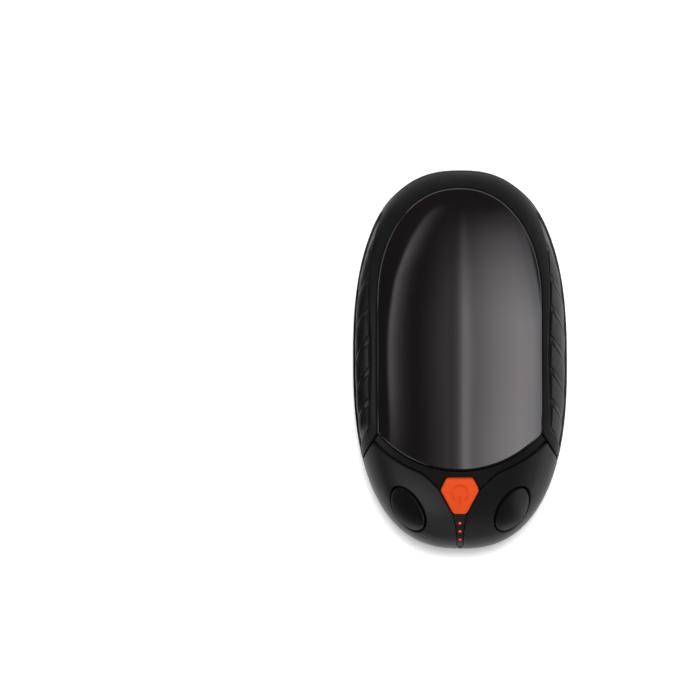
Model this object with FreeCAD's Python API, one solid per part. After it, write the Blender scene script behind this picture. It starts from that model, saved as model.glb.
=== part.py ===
import FreeCAD, Part
import math
import os

# A rechargeable hand warmer: a pebble-shaped pocket heater with a domed warm panel, two cheek covers
# with round accents, a six-sided power button, a row of charge lights and a rubber grip on each side.
# Millimetres. The origin is the middle of the flat back, +Z points out through the warm panel and the
# button end, called the head here, points to -Y. A place along the length is given from the nearer tip.

Vector = FreeCAD.Vector

# Outer pebble
half_length = 50.0
half_width = 28.15
dome_height = 19.0
plan_exponent = 2.48
section_exponent = 3.1

# Stepped back: flat in the middle, down to a lip at the head, up by the same step at the tail
step_from_tip = 14.5
step_run = 8.1
step_height = 6.8
step_radius = 5.5
cover_thickness = 1.4
cover_seam = 0.15

# Shell walls, each depth measured inwards from the outer pebble
wall = 2.8
skin = 1.4
bond_gap = 0.05
seam_gap = 0.2

# Warm panel
panel_side_margin = 7.05
panel_half_width = half_width - panel_side_margin
panel_head_from_tip = 20.9
panel_head_radius = 28.0
panel_tail_from_tip = 6.3
panel_crown_length = 29.7
panel_crown_exponent = 2.15
panel_raise = 0.3
panel_ledge = 2.0
panel_arc_rise = math.sqrt(panel_head_radius ** 2 - panel_half_width ** 2)
panel_corner_from_tip = panel_head_from_tip + panel_head_radius - panel_arc_rise

# Heater stack under the panel
film_thickness = 0.3
pad_thickness = 1.4
film_margin = 0.4
thermistor_from_tip = 45.0
thermistor_size = 2.0
thermistor_height = 1.0
thermistor_clearance = 0.5

# Bridge between the panel and the cheeks
bridge_width = 2.6
bridge_recess = 0.4
bridge_neck_half_width = 9.5
cheek_seam_angle = 56.7

# Power button
button_from_tip = 15.9
button_half_width = 5.0
button_top_half_width = 3.45
button_top_reach = 3.1
button_low_half_width = 1.7
button_low_reach = 6.2
button_raise = 0.25
button_gap = 0.2
button_guide_wall = 1.2
button_guide_bottom = 11.2
button_flange = 0.7
button_flange_height = 1.0
button_tip_clear = 1.0
button_stop_gap = 0.3
button_stem_diameter = 3.0
button_travel = 0.5
symbol_radius = 1.75
symbol_stroke = 0.55
symbol_depth = 0.2
symbol_bar_length = 1.9
symbol_opening = 70.0

# Charge lights
light_count = 4
light_first_from_tip = 7.2
light_pitch = 2.15
light_diameter = 1.1
light_fit = 0.08
light_pin_proud = 0.1
strip_shoulder_from_tip = 5.0
strip_shoulder_half_width = 0.8
strip_tip_half_width = 0.7
strip_thickness = 0.8
strip_bottom = 4.8
led_side = 0.9
led_height = 0.45
led_gap = 0.12
flex_thickness = 0.3
flex_half_width = 2.2
flex_from_tip = 9.2
flex_bottom = 4.3

# Round accents on the cheeks
eye_share = 0.476
eye_offset = eye_share * half_width
eye_from_tip = 10.8
eye_long = 6.8
eye_short = 3.65
eye_turn = 58.0
eye_groove = 0.5
eye_crown = 0.6
eye_ball_radius = 15.0

# Side grips, outlined as seen from the side
grip_head_margin = 1.1
grip_head_slant = 5.7
grip_head_front = (panel_corner_from_tip + grip_head_margin, 12.7)
grip_head_back = (grip_head_front[0] - grip_head_slant, 4.0)
grip_tail_back = (17.1, 3.5)
grip_tail_front = (11.9, 7.5)
grip_front_height = 13.75
grip_depth = 0.7
grip_gap = 0.15
rib_count = 6
rib_width = 2.0
rib_slope = 0.8
rib_start = 5.9
rib_depth = 0.2
rib_level = 13.0
grip_span = 2 * half_length - grip_head_front[0] - grip_tail_front[0]
rib_pitch = grip_span / (rib_count + 1)

# Back cover tongue, bosses and magnets
tongue_gap = 0.15
tongue_wall = 1.2
tongue_height = 2.0
boss_diameter = 4.6
pilot_diameter = 1.6
magnet_diameter = 8.0
magnet_height = 2.0
magnet_fit = 0.15
magnet_ring_wall = 1.0
magnet_ring_height = 1.6
magnet_side_margin = 17.65
magnet_from_tip = 33.0
magnet_offset = half_width - magnet_side_margin
magnet_spread = half_length - magnet_from_tip

# Battery, its pad and its tray
battery_head_from_tip = 27.0
battery_tail_from_tip = 25.0
battery_side_margin = 12.15
battery_length = 2 * half_length - battery_head_from_tip - battery_tail_from_tip
battery_width = 2 * (half_width - battery_side_margin)
battery_height = 7.4
battery_edge = 1.5
battery_pad_thickness = 0.5
battery_pad_margin = 2.0
tray_clearance = 0.2
tray_floor = 1.0
tray_side_gap = 0.3
tray_rim = 1.0
tray_rim_height = 3.0
tray_screw_reach = 4.0
tray_screw_offset = battery_width / 2 + tray_screw_reach
tray_screw_inset = 9.0
inner_gap = 0.4

# Circuit board and what it carries
board_thickness = 1.2
board_bottom = 2.6
board_tail_from_tip = 23.6
board_length = 25.0
board_half_width = 17.0
board_screw_offset = 12.0
board_screw_from_tip = 20.2
switch_side = 6.0
switch_height = 3.5
plunger_diameter = 3.4
plunger_gap = 0.2
plunger_depth = 1.1
plunger_length = 2.4
socket_width = 8.0
socket_depth = 3.4
socket_height = 3.2
socket_from_tip = 21.6
chip_side = 4.0
chip_height = 0.9
charge_chip_side = 3.0
charge_chip_height = 0.8
chip_offset = 9.5
chip_from_tip = 15.5
inductor_side = 4.5
inductor_height = 2.6
inductor_offset = 7.0
inductor_from_tip = 10.0

# Screws
screw_diameter = 1.6
screw_length = 3.0
screw_head_diameter = 3.2
screw_head_height = 1.1
screw_hole_diameter = 2.0
screw_slot = 0.5
screw_slot_depth = 0.5

# Charging socket, standing under the board and reaching through the head wall
usb_width = 8.94
usb_height = 3.26
usb_corner = 1.3
usb_metal = 0.3
usb_length = 7.3
usb_mouth_from_tip = 0.6
usb_opening_gap = 0.25
usb_rear = 1.0
usb_tongue_width = 6.2
usb_tongue_thickness = 0.7
usb_tongue_setback = 0.8
usb_fit = 0.03

# Wiring
battery_wire_diameter = 1.2
battery_wire_spread = 1.6
battery_wire_height = 10.8
battery_wire_bend = 2.9
heater_wire_diameter = 0.9
heater_wire_spread = 8.0
heater_wire_level = 9.2
heater_wire_bend = 2.2
heater_wire_drop_from_tip = 25.5
heater_wire_board_from_tip = 20.5
wire_hole_gap = 0.6

# Modelling reach and resolution
patch_reach = 122.0
patch_steps = 12
crown_steps = 8
far = 30.0
below_lip = 0.7

head_tip = -half_length
tail_tip = half_length
board_top = board_bottom + board_thickness
floor_level = -step_height - below_lip
ceiling = dome_height + far
pebbles = {}


def pebble_reach(across, along, up):
    """Stretch that brings a direction from the centre onto the unit pebble."""
    plan = abs(across) ** plan_exponent + abs(along) ** plan_exponent
    full = plan ** (section_exponent / plan_exponent) + abs(up) ** section_exponent
    return full ** (-1.0 / section_exponent)


def pebble_point(inset, across, along, up):
    """Point of the pebble, set inwards by a depth, that lies in a direction of the unit sphere."""
    reach = pebble_reach(across, along, up)
    x = (half_width - inset) * reach * across
    y = (half_length - inset) * reach * along
    z = (dome_height - inset) * reach * up
    return Vector(x, y, z)


def skin_height(x, y, inset):
    """Height of the inset pebble above a place of the back plane."""
    plan = abs(x / (half_width - inset)) ** plan_exponent + abs(y / (half_length - inset)) ** plan_exponent
    rest = max(1.0 - plan ** (section_exponent / plan_exponent), 0.0)
    return (dome_height - inset) * rest ** (1.0 / section_exponent)


def skin_normal(x, y):
    """Outward direction of the skin above a place of the back plane."""
    across = abs(x / half_width)
    along = abs(y / half_length)
    plan = across ** plan_exponent + along ** plan_exponent
    lean = plan ** (section_exponent / plan_exponent - 1.0)
    up = (skin_height(x, y, 0.0) / dome_height) ** (section_exponent - 1.0) / dome_height
    slope_x = math.copysign(lean * across ** (plan_exponent - 1.0) / half_width, x)
    slope_y = math.copysign(lean * along ** (plan_exponent - 1.0) / half_length, y)
    return Vector(slope_x, slope_y, up).normalize()


def pebble(inset):
    """Solid pebble set inwards by a depth, cut level just below the lip."""
    if inset in pebbles:
        return pebbles[inset]
    rows = []
    for row in range(-patch_steps, patch_steps + 1):
        points = []
        for column in range(-patch_steps, patch_steps + 1):
            turn = math.atan2(row, column)
            tilt = math.radians(patch_reach) * math.hypot(row, column) / patch_steps
            across = math.sin(tilt) * math.cos(turn)
            along = math.sin(tilt) * math.sin(turn)
            points.append(pebble_point(inset, across, along, math.cos(tilt)))
        rows.append(points)
    surface = Part.BSplineSurface()
    surface.interpolate(rows)
    side = half_width + far
    end = half_length + far
    block = box((-side, side), (-end, end), (floor_level, ceiling))
    pieces = block.generalFuse([surface.toShape()])[0].Solids
    pebbles[inset] = min(pieces, key=lambda piece: piece.BoundBox.XLength)
    return pebbles[inset]


def layer(region, outer, inner):
    """Part of a region that lies between two depths of the pebble."""
    return region.common(pebble(outer)).cut(pebble(inner))


def box(x_span, y_span, z_span):
    """Block between pairs of limits."""
    size = (x_span[1] - x_span[0], y_span[1] - y_span[0], z_span[1] - z_span[0])
    return Part.makeBox(size[0], size[1], size[2], Vector(x_span[0], y_span[0], z_span[0]))


def post(x, y, diameter, z_span):
    """Upright cylinder."""
    return Part.makeCylinder(diameter / 2, z_span[1] - z_span[0], Vector(x, y, z_span[0]))


def joined(shapes):
    """One shape from several that touch or overlap."""
    first = shapes[0]
    return first.fuse(shapes[1:]).removeSplitter()


def mirrored(shape):
    """The same piece on the other side."""
    return shape.mirror(Vector(0, 0, 0), Vector(1, 0, 0))


def line(start, end):
    """Straight edge."""
    return Part.LineSegment(start, end).toShape()


def plan_point(x, y):
    """Point of a plan outline, at the level where upright prisms start."""
    return Vector(x, y, floor_level)


def upright(edges):
    """Upright prism on a closed plan outline."""
    return Part.Face(Part.Wire(edges)).extrude(Vector(0, 0, ceiling - floor_level))


def polygon(points):
    """Closed row of straight edges."""
    return [line(start, end) for start, end in zip(points, points[1:] + points[:1])]


def rounded_run(points, radius):
    """Straight runs through points with a tangent arc at each inner corner."""
    edges = []
    start = points[0]
    for before, corner, after in zip(points, points[1:], points[2:]):
        back = (before - corner).normalize()
        ahead = (after - corner).normalize()
        half_angle = back.getAngle(ahead) / 2
        setback = radius / math.tan(half_angle)
        inward = (back + ahead).normalize()
        middle = corner + inward * (radius / math.sin(half_angle) - radius)
        arc_start = corner + back * setback
        arc_end = corner + ahead * setback
        edges.append(line(start, arc_start))
        edges.append(Part.Arc(arc_start, middle, arc_end).toShape())
        start = arc_end
    edges.append(line(start, points[-1]))
    return edges


def above_back(rise):
    """Everything above the stepped back when that is raised by a distance."""
    foot = half_length - step_from_tip
    end = half_length + far
    side = -half_width - far
    profile = [
        (-end, -step_height),
        (-foot - step_run, -step_height),
        (-foot, 0.0),
        (foot, 0.0),
        (foot + step_run, step_height),
        (end, step_height),
    ]
    points = [Vector(side, y, z + rise) for y, z in profile]
    edges = rounded_run(points, step_radius)
    top = [Vector(side, end, ceiling + far), Vector(side, -end, ceiling + far)]
    edges += [line(points[-1], top[0]), line(top[0], top[1]), line(top[1], points[0])]
    return Part.Face(Part.Wire(edges)).extrude(Vector(-2 * side, 0, 0))


def panel_arc_centre():
    """Height along Y of the centre of the panel's round lower edge."""
    return head_tip + panel_head_from_tip + panel_head_radius


def panel_corner_along(grow):
    """Place along Y where the panel's side meets its lower edge."""
    radius = panel_head_radius + grow
    return panel_arc_centre() - math.sqrt(radius ** 2 - (panel_half_width + grow) ** 2)


def panel_outline(grow):
    """Arch-shaped outline of the panel, grown by a distance."""
    half = panel_half_width + grow
    crown = panel_crown_length + grow
    shoulder = tail_tip - panel_tail_from_tip - panel_crown_length
    power = 2.0 / panel_crown_exponent
    points = []
    for step in range(-crown_steps, crown_steps + 1):
        angle = math.pi / 2 * step / crown_steps
        across = math.copysign(abs(math.sin(angle)) ** power, angle)
        along = abs(math.cos(angle)) ** power
        if abs(step) == crown_steps:
            along = 0.0
        points.append(plan_point(half * across, shoulder + crown * along))
    arch = Part.BSplineCurve()
    arch.interpolate(Points=points, InitialTangent=Vector(0, 1, 0), FinalTangent=Vector(0, -1, 0))
    corner = panel_corner_along(grow)
    lowest = panel_arc_centre() - panel_head_radius - grow
    right = plan_point(half, corner)
    left = plan_point(-half, corner)
    return [
        arch.toShape(),
        line(points[-1], right),
        Part.Arc(right, plan_point(0, lowest), left).toShape(),
        line(left, points[0]),
    ]


def button_along():
    """Place along Y of the button's widest corners."""
    return head_tip + button_from_tip


def button_low():
    """Place along Y of the button's narrow end."""
    return button_along() - button_low_reach


def button_outline(grow):
    """Six-sided outline of the button, grown by a distance, with its narrow end to the head."""
    middle = button_along()
    half = [
        (button_top_half_width, middle + button_top_reach),
        (button_half_width, middle),
        (button_low_half_width, button_low()),
    ]
    corners = half + [(-x, y) for x, y in reversed(half)]
    wire = Part.Wire(polygon([plan_point(x, y) for x, y in corners]))
    if grow == 0.0:
        return wire.Edges
    return wire.makeOffset2D(grow, 2).Edges


def cheek_seam_start(gap):
    """Corner from which the seam between a cheek and the side of the frame runs out."""
    angle = math.radians(cheek_seam_angle)
    corner = Vector(panel_half_width, panel_corner_along(0.0), floor_level)
    return corner + Vector(-math.sin(angle), -math.cos(angle), 0) * gap


def cheek_seam_direction():
    """Direction in which that seam runs outwards and to the head."""
    angle = math.radians(cheek_seam_angle)
    return Vector(math.cos(angle), -math.sin(angle), 0)


def cheek_corner(gap):
    """Corner of a cheek next to the panel's corner."""
    start = cheek_seam_start(gap)
    direction = cheek_seam_direction()
    offset = start - plan_point(0, panel_arc_centre())
    radius = panel_head_radius + bridge_width + gap
    forward = offset.dot(direction)
    run = -forward + math.sqrt(forward ** 2 + radius ** 2 - offset.dot(offset))
    return start + direction * run


def bridge_side(gap):
    """Edge of the right-hand cheek towards the panel, the button and the lights, from corner to tip."""
    radius = panel_head_radius + bridge_width + gap
    centre = panel_arc_centre()
    corner = cheek_corner(gap)
    neck = plan_point(bridge_neck_half_width, centre - math.sqrt(radius ** 2 - bridge_neck_half_width ** 2))
    halfway = (corner.x + neck.x) / 2
    middle = plan_point(halfway, centre - math.sqrt(radius ** 2 - halfway ** 2))
    points = [
        neck,
        plan_point(button_half_width + gap, button_along()),
        plan_point(button_low_half_width + gap, button_low()),
        plan_point(strip_shoulder_half_width + gap, head_tip + strip_shoulder_from_tip),
        plan_point(strip_tip_half_width + gap, head_tip - far),
    ]
    edges = [Part.Arc(corner, middle, neck).toShape()]
    edges += [line(start, end) for start, end in zip(points, points[1:])]
    return edges


def cheek_prism(gap):
    """Upright prism over the right-hand cheek, drawn in by a gap."""
    edges = bridge_side(gap)
    start = edges[-1].Vertexes[-1].Point
    corner = cheek_corner(gap)
    outer = corner + cheek_seam_direction() * far
    far_corner = plan_point(outer.x, start.y)
    edges += [line(start, far_corner), line(far_corner, outer), line(outer, corner)]
    return upright(edges)


def bridge_prism():
    """Upright prism over the frame's bridge, from the panel to the cheeks and the head tip."""
    right = Part.Wire(bridge_side(0.0))
    left = mirrored(right)
    right_corner = cheek_corner(0.0)
    left_corner = Vector(-right_corner.x, right_corner.y, right_corner.z)
    tip = plan_point(strip_tip_half_width, head_tip - far)
    closing = Part.Arc(left_corner, plan_point(0, panel_arc_centre()), right_corner).toShape()
    edges = right.Edges + [line(tip, plan_point(-tip.x, tip.y))] + left.Edges + [closing]
    return Part.Face(Part.Wire(Part.__sortEdges__(edges))).extrude(Vector(0, 0, ceiling - floor_level))


def strip_prism(gap):
    """Upright prism over the tapering light strip, drawn in by a gap."""
    top = button_low() - button_gap - gap
    half = [
        (button_low_half_width - gap, top),
        (strip_shoulder_half_width - gap, head_tip + strip_shoulder_from_tip),
        (strip_tip_half_width - gap, head_tip - far),
    ]
    corners = half + [(-x, y) for x, y in reversed(half)]
    prism = upright(polygon([plan_point(x, y) for x, y in corners]))
    return prism.common(box((-far, far), (head_tip - 2 * far, 0), (strip_bottom + gap, ceiling)))


def light_axes():
    """Places on the skin and outward directions of the charge lights."""
    axes = []
    for number in range(light_count):
        y = head_tip + light_first_from_tip - number * light_pitch
        axes.append((Vector(0, y, skin_height(0.0, y, 0.0)), skin_normal(0.0, y)))
    return axes


def light_pins(diameter, depth):
    """Round pins square to the skin, from outside the pebble to a depth."""
    reach = depth + far
    return [
        Part.makeCylinder(diameter / 2, reach, place - normal * depth, normal)
        for place, normal in light_axes()
    ]


def eye_prism(shrink):
    """Upright oval prism over the right-hand accent, drawn in by a distance."""
    turn = math.radians(eye_turn)
    centre = plan_point(eye_offset, head_tip + eye_from_tip)
    long_end = centre + Vector(math.cos(turn), math.sin(turn), 0) * (eye_long - shrink)
    short_end = centre + Vector(-math.sin(turn), math.cos(turn), 0) * (eye_short - shrink)
    return upright([Part.Ellipse(long_end, short_end, centre).toShape()])


def grip_point(place, tip, inward):
    """Point of the grip's outline from a distance to a tip and a height."""
    return Vector(0, tip + inward * place[0], place[1])


def grip_prism(shrink):
    """Prism along X over the right-hand grip, drawn in by a distance."""
    head_front = grip_point(grip_head_front, head_tip, 1)
    head_back = grip_point(grip_head_back, head_tip, 1)
    tail_back = grip_point(grip_tail_back, tail_tip, -1)
    tail_front = grip_point(grip_tail_front, tail_tip, -1)
    crest = Vector(0, (head_front.y + tail_front.y) / 2, grip_front_height)
    edges = [
        Part.Arc(tail_front, crest, head_front).toShape(),
        line(head_front, head_back),
        line(head_back, tail_back),
        line(tail_back, tail_front),
    ]
    wire = Part.Wire(edges)
    if shrink > 0.0:
        wire = wire.makeOffset2D(-shrink, 2)
    return Part.Face(wire).extrude(Vector(half_width + far, 0, 0))


def make_grip():
    """Right-hand rubber grip: a thin pad in its pocket with slanting raised ribs."""
    outline = grip_prism(grip_gap)
    pad = layer(outline, grip_depth, skin)
    ribbed = layer(outline, rib_depth, skin)
    bars = []
    for number in range(rib_count):
        y = head_tip + grip_head_front[0] + rib_start + number * rib_pitch
        low = Vector(0, y - rib_slope * rib_level, 0)
        high = Vector(0, y + rib_slope * (ceiling - rib_level), ceiling)
        width = Vector(0, rib_width, 0)
        face = Part.Face(Part.Wire(polygon([low, low + width, high + width, high])))
        bars.append(face.extrude(Vector(half_width + far, 0, 0)))
    return pad.fuse(ribbed.common(Part.makeCompound(bars))).removeSplitter()


def usb_block(grow, y_span):
    """Rounded block along Y at the charging socket, grown by a distance."""
    half = usb_width / 2 + grow
    top = board_bottom + grow
    bottom = board_bottom - usb_height - grow
    block = box((-half, half), y_span, (bottom, top))
    length = y_span[1] - y_span[0]
    long_edges = [edge for edge in block.Edges if edge.BoundBox.YLength > length / 2]
    return block.makeFillet(usb_corner + grow, long_edges)


def usb_mouth():
    """Place along Y of the charging socket's mouth."""
    return head_tip + usb_mouth_from_tip


def usb_opening():
    """Way through the head wall for the charging socket."""
    return usb_block(usb_opening_gap, (head_tip - far, usb_mouth() + usb_length))


def make_front_frame():
    """Structural front shell with its rebates, pockets, openings and the button's guide."""
    frame = layer(above_back(cover_thickness + cover_seam), 0.0, wall)
    guide = upright(button_outline(button_gap + button_guide_wall))
    guide = guide.common(pebble(wall - bond_gap))
    guide_span = (button_low() + button_tip_clear, 0)
    guide = guide.common(box((-far, far), guide_span, (button_guide_bottom, ceiling)))
    frame = frame.fuse(guide)
    seat = skin + bond_gap
    cheek = cheek_prism(0.0).cut(pebble(seat))
    grip = grip_prism(0.0).cut(pebble(seat))
    tools = [
        upright(panel_outline(seam_gap)).cut(pebble(seat)),
        upright(panel_outline(-panel_ledge)),
        cheek,
        mirrored(cheek),
        grip,
        mirrored(grip),
        bridge_prism().cut(pebble(bridge_recess)),
        upright(button_outline(button_gap)),
        strip_prism(0.0).cut(pebble(bridge_recess + strip_thickness + bond_gap)),
        usb_opening(),
    ]
    return frame.cut(tools + light_pins(light_diameter + 2 * light_fit, 2 * wall))


def make_heat_panel():
    """Domed warm panel, standing slightly proud of the frame."""
    return layer(upright(panel_outline(0.0)), -panel_raise, skin)


def make_cheek():
    """Right-hand cheek cover with the hole for its accent."""
    region = cheek_prism(seam_gap).common(above_back(cover_thickness + cover_seam))
    region = region.cut([eye_prism(0.0), usb_opening()])
    return layer(region, 0.0, skin)


def make_eye():
    """Right-hand accent: an oval plug with a crowned face."""
    x = eye_offset
    y = head_tip + eye_from_tip
    crest = Vector(x, y, skin_height(x, y, 0.0)) + skin_normal(x, y) * eye_crown
    ball = Part.makeSphere(eye_ball_radius, crest - skin_normal(x, y) * eye_ball_radius)
    front_half = box((0, half_width), (head_tip, 0), (0, ceiling))
    return eye_prism(eye_groove).common(ball).common(front_half).cut(pebble(skin))


def make_power_button():
    """Six-sided button with its power mark, a retaining flange and a stem down to the switch."""
    flange_top = button_guide_bottom - button_stop_gap
    flange_bottom = flange_top - button_flange_height
    plunger_top = board_top + switch_height + plunger_length - plunger_depth
    cap = upright(button_outline(0.0)).common(pebble(-button_raise))
    cap = cap.common(box((-far, far), (head_tip, 0), (flange_bottom, ceiling)))
    flange = upright(button_outline(button_gap + button_flange))
    flange_span = (button_low() + button_tip_clear, 0)
    flange = flange.common(box((-far, far), flange_span, (flange_bottom, flange_top)))
    stem = post(0, button_along(), button_stem_diameter, (plunger_top, flange_top))
    return joined([cap, flange, stem]).cut(power_mark().cut(pebble(symbol_depth - button_raise)))


def power_mark():
    """Upright prism of the generic power sign: an open ring and a bar towards the head."""
    middle = button_along()
    span = (floor_level, ceiling)
    ring = post(0, middle, 2 * symbol_radius + symbol_stroke, span)
    ring = ring.cut(post(0, middle, 2 * symbol_radius - symbol_stroke, span))
    half_open = math.radians(symbol_opening / 2)
    left = plan_point(-far * math.sin(half_open), middle - far * math.cos(half_open))
    right = plan_point(far * math.sin(half_open), middle - far * math.cos(half_open))
    ring = ring.cut(upright(polygon([plan_point(0, middle), left, right])))
    bar_end = middle - symbol_radius - symbol_stroke
    bar = box((-symbol_stroke / 2, symbol_stroke / 2), (bar_end, bar_end + symbol_bar_length), span)
    return Part.makeCompound([ring, bar])


def make_light_strip():
    """Dark window strip around the charge lights."""
    region = strip_prism(seam_gap / 2).cut(light_pins(light_diameter + 2 * light_fit, wall))
    return layer(region, bridge_recess, bridge_recess + strip_thickness)


def light_pin_depth():
    """Depth of the inner end of each light pin."""
    return wall + light_pin_proud


def make_light_pins():
    """Clear pins that carry the light through the wall, flush with the strip."""
    pins = light_pins(light_diameter, light_pin_depth())
    return Part.makeCompound([pin.common(pebble(bridge_recess)) for pin in pins])


def make_status_leds():
    """One small lamp behind each light pin."""
    depth = light_pin_depth() + led_gap
    lamps = []
    for place, normal in light_axes():
        lamp = box((-led_side / 2, led_side / 2), (-led_side / 2, led_side / 2), (-led_height, 0))
        lamp.Placement = FreeCAD.Placement(place - normal * depth, FreeCAD.Rotation(Vector(0, 0, 1), normal))
        lamps.append(lamp)
    return Part.makeCompound(lamps)


def make_led_flex():
    """Flexible circuit that carries the lamps, bent along the head wall down to the board."""
    depth = light_pin_depth() + led_height + 2 * led_gap
    span = (head_tip, head_tip + flex_from_tip)
    region = box((-flex_half_width, flex_half_width), span, (flex_bottom, ceiling))
    return layer(region, depth, depth + flex_thickness)


def make_heater_film():
    """Thin heater bonded under the panel."""
    outer = skin + bond_gap
    return layer(upright(panel_outline(-panel_ledge - film_margin)), outer, outer + film_thickness)


def thermistor_along():
    """Place along Y of the temperature sensor."""
    return head_tip + thermistor_from_tip


def heater_wire_places():
    """Plan places where the heater's two wires come down."""
    y = head_tip + heater_wire_drop_from_tip
    return [(-heater_wire_spread, y), (heater_wire_spread, y)]


def make_insulation_pad():
    """Foam layer that keeps the heat off the battery, open for the sensor and the wires."""
    outer = skin + film_thickness + 2 * bond_gap
    span = (0, ceiling)
    hole = thermistor_size + 2 * thermistor_clearance
    holes = [post(0, thermistor_along(), math.sqrt(2) * hole, span)]
    holes += [post(x, y, heater_wire_diameter + 2 * wire_hole_gap, span) for x, y in heater_wire_places()]
    region = upright(panel_outline(-panel_ledge - film_margin)).cut(holes)
    return layer(region, outer, outer + pad_thickness)


def film_underside(x, y):
    """Height of the heater film's inner face."""
    return skin_height(x, y, skin + bond_gap + film_thickness)


def make_thermistor():
    """Temperature sensor pressed against the heater film."""
    half = thermistor_size / 2
    top = film_underside(half, thermistor_along() + half) - bond_gap
    along = (thermistor_along() - half, thermistor_along() + half)
    return box((-half, half), along, (top - thermistor_height, top))


def battery_head():
    """Place along Y of the battery's head end."""
    return head_tip + battery_head_from_tip


def tray_bottom():
    """Level of the tray's underside, just above the magnets."""
    return cover_thickness + magnet_height + tray_clearance


def battery_bottom():
    """Level of the battery's underside, on its pad in the tray."""
    return tray_bottom() + tray_floor + battery_pad_thickness


def tray_screw_places():
    """Plan places of the tray's screws."""
    head = battery_head() + tray_screw_inset
    tail = battery_head() + battery_length - tray_screw_inset
    return [(x, y) for x in (-tray_screw_offset, tray_screw_offset) for y in (head, tail)]


def board_screw_places():
    """Plan places of the board's screws."""
    y = head_tip + board_screw_from_tip
    return [(-board_screw_offset, y), (board_screw_offset, y)]


def magnet_places():
    """Plan places of the magnets behind the flat back."""
    return [(x, y) for x in (-magnet_offset, magnet_offset) for y in (-magnet_spread, magnet_spread)]


def make_back_cover():
    """Stepped back plate with a tongue inside the frame, screw bosses and magnet rings."""
    plate = pebble(0.0).common(above_back(0.0)).cut(above_back(cover_thickness))
    outer = wall + tongue_gap
    region = above_back(cover_thickness).cut(above_back(cover_thickness + tongue_height))
    tongue = layer(region, outer, outer + tongue_wall)
    bosses = [post(x, y, boss_diameter, (cover_thickness, tray_bottom())) for x, y in tray_screw_places()]
    bosses += [post(x, y, boss_diameter, (cover_thickness, board_bottom)) for x, y in board_screw_places()]
    inner = magnet_diameter + 2 * magnet_fit
    ring_span = (cover_thickness, cover_thickness + magnet_ring_height)
    rings = []
    for x, y in magnet_places():
        ring = post(x, y, inner + 2 * magnet_ring_wall, ring_span)
        rings.append(ring.cut(post(x, y, inner, ring_span)))
    pilots = [
        post(x, y, pilot_diameter, (cover_thickness - tray_floor, ceiling))
        for x, y in tray_screw_places() + board_screw_places()
    ]
    return joined([plate, tongue] + bosses + rings).cut(pilots)


def make_magnets():
    """Holding magnets for the matching half."""
    span = (cover_thickness, cover_thickness + magnet_height)
    return Part.makeCompound([post(x, y, magnet_diameter, span) for x, y in magnet_places()])


def battery_block(grow, z_span):
    """Upright block over the battery's plan, grown by a distance."""
    half = battery_width / 2 + grow
    return box((-half, half), (battery_head() - grow, battery_head() + battery_length + grow), z_span)


def make_battery_cell():
    """Flat pouch cell with soft edges."""
    block = battery_block(0.0, (battery_bottom(), battery_bottom() + battery_height))
    return block.makeFillet(battery_edge, block.Edges)


def make_battery_pad():
    """Foam tape under the battery."""
    span = (battery_bottom() - battery_pad_thickness, battery_bottom())
    return battery_block(-battery_pad_margin, span)


def make_inner_tray():
    """Tray with a low rim round the battery and four screw ears."""
    low = tray_bottom()
    top = low + tray_floor
    outer = tray_side_gap + tray_rim
    floor = battery_block(outer, (low, top))
    rim = battery_block(outer, (low, top + tray_rim_height))
    rim = rim.cut(battery_block(tray_side_gap, (low, top + tray_rim_height)))
    ears = [post(x, y, boss_diameter, (low, top)) for x, y in tray_screw_places()]
    ties = [
        box(sorted((0, x)), (y - boss_diameter / 2, y + boss_diameter / 2), (low, top))
        for x, y in tray_screw_places()
    ]
    tray = joined([floor, rim] + ears + ties)
    heads = [
        post(x, y, screw_head_diameter + 2 * inner_gap, (top, top + tray_rim_height))
        for x, y in tray_screw_places()
    ]
    holes = [post(x, y, screw_hole_diameter, (low, top)) for x, y in tray_screw_places()]
    return tray.cut(heads + holes)


def screws(places, seat):
    """Slotted pan-head screws with their heads on a seat level."""
    pieces = []
    for x, y in places:
        head = post(x, y, screw_head_diameter, (seat, seat + screw_head_height))
        shank = post(x, y, screw_diameter, (seat - screw_length, seat))
        slot_floor = seat + screw_head_height - screw_slot_depth
        reach = screw_head_diameter
        slot = box((x - reach, x + reach), (y - screw_slot / 2, y + screw_slot / 2), (slot_floor, ceiling))
        pieces.append(head.fuse(shank).removeSplitter().cut(slot))
    return Part.makeCompound(pieces)


def make_main_board():
    """Circuit board, cut to the inside of the head."""
    tail = head_tip + board_tail_from_tip
    span = (board_bottom, board_top)
    blank = box((-board_half_width, board_half_width), (tail - board_length, tail), span)
    limit = wall + tongue_gap + tongue_wall + inner_gap
    holes = [post(x, y, screw_hole_diameter, span) for x, y in board_screw_places()]
    return blank.common(pebble(limit)).cut(holes)


def on_board(x, from_tip, width, depth, height):
    """Block standing on the board."""
    corner = Vector(x - width / 2, head_tip + from_tip - depth / 2, board_top)
    return Part.makeBox(width, depth, height, corner)


def chip(x, from_tip, side, height):
    """Square package standing on the board."""
    return on_board(x, from_tip, side, side, height)


def make_switch_body():
    """Push switch body with the well for its plunger."""
    body = chip(0, button_from_tip, switch_side, switch_height)
    top = board_top + switch_height
    well_depth = plunger_depth + button_travel + plunger_gap
    well = post(0, button_along(), plunger_diameter + 2 * plunger_gap, (top - well_depth, top))
    return body.cut(well)


def make_switch_plunger():
    """Push switch plunger, carrying the button's stem."""
    bottom = board_top + switch_height - plunger_depth
    return post(0, button_along(), plunger_diameter, (bottom, bottom + plunger_length))


def make_usb_receptacle():
    """Metal tube of the charging socket."""
    span = (usb_mouth(), usb_mouth() + usb_length)
    return usb_block(0.0, span).cut(usb_block(-usb_metal, span))


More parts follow.
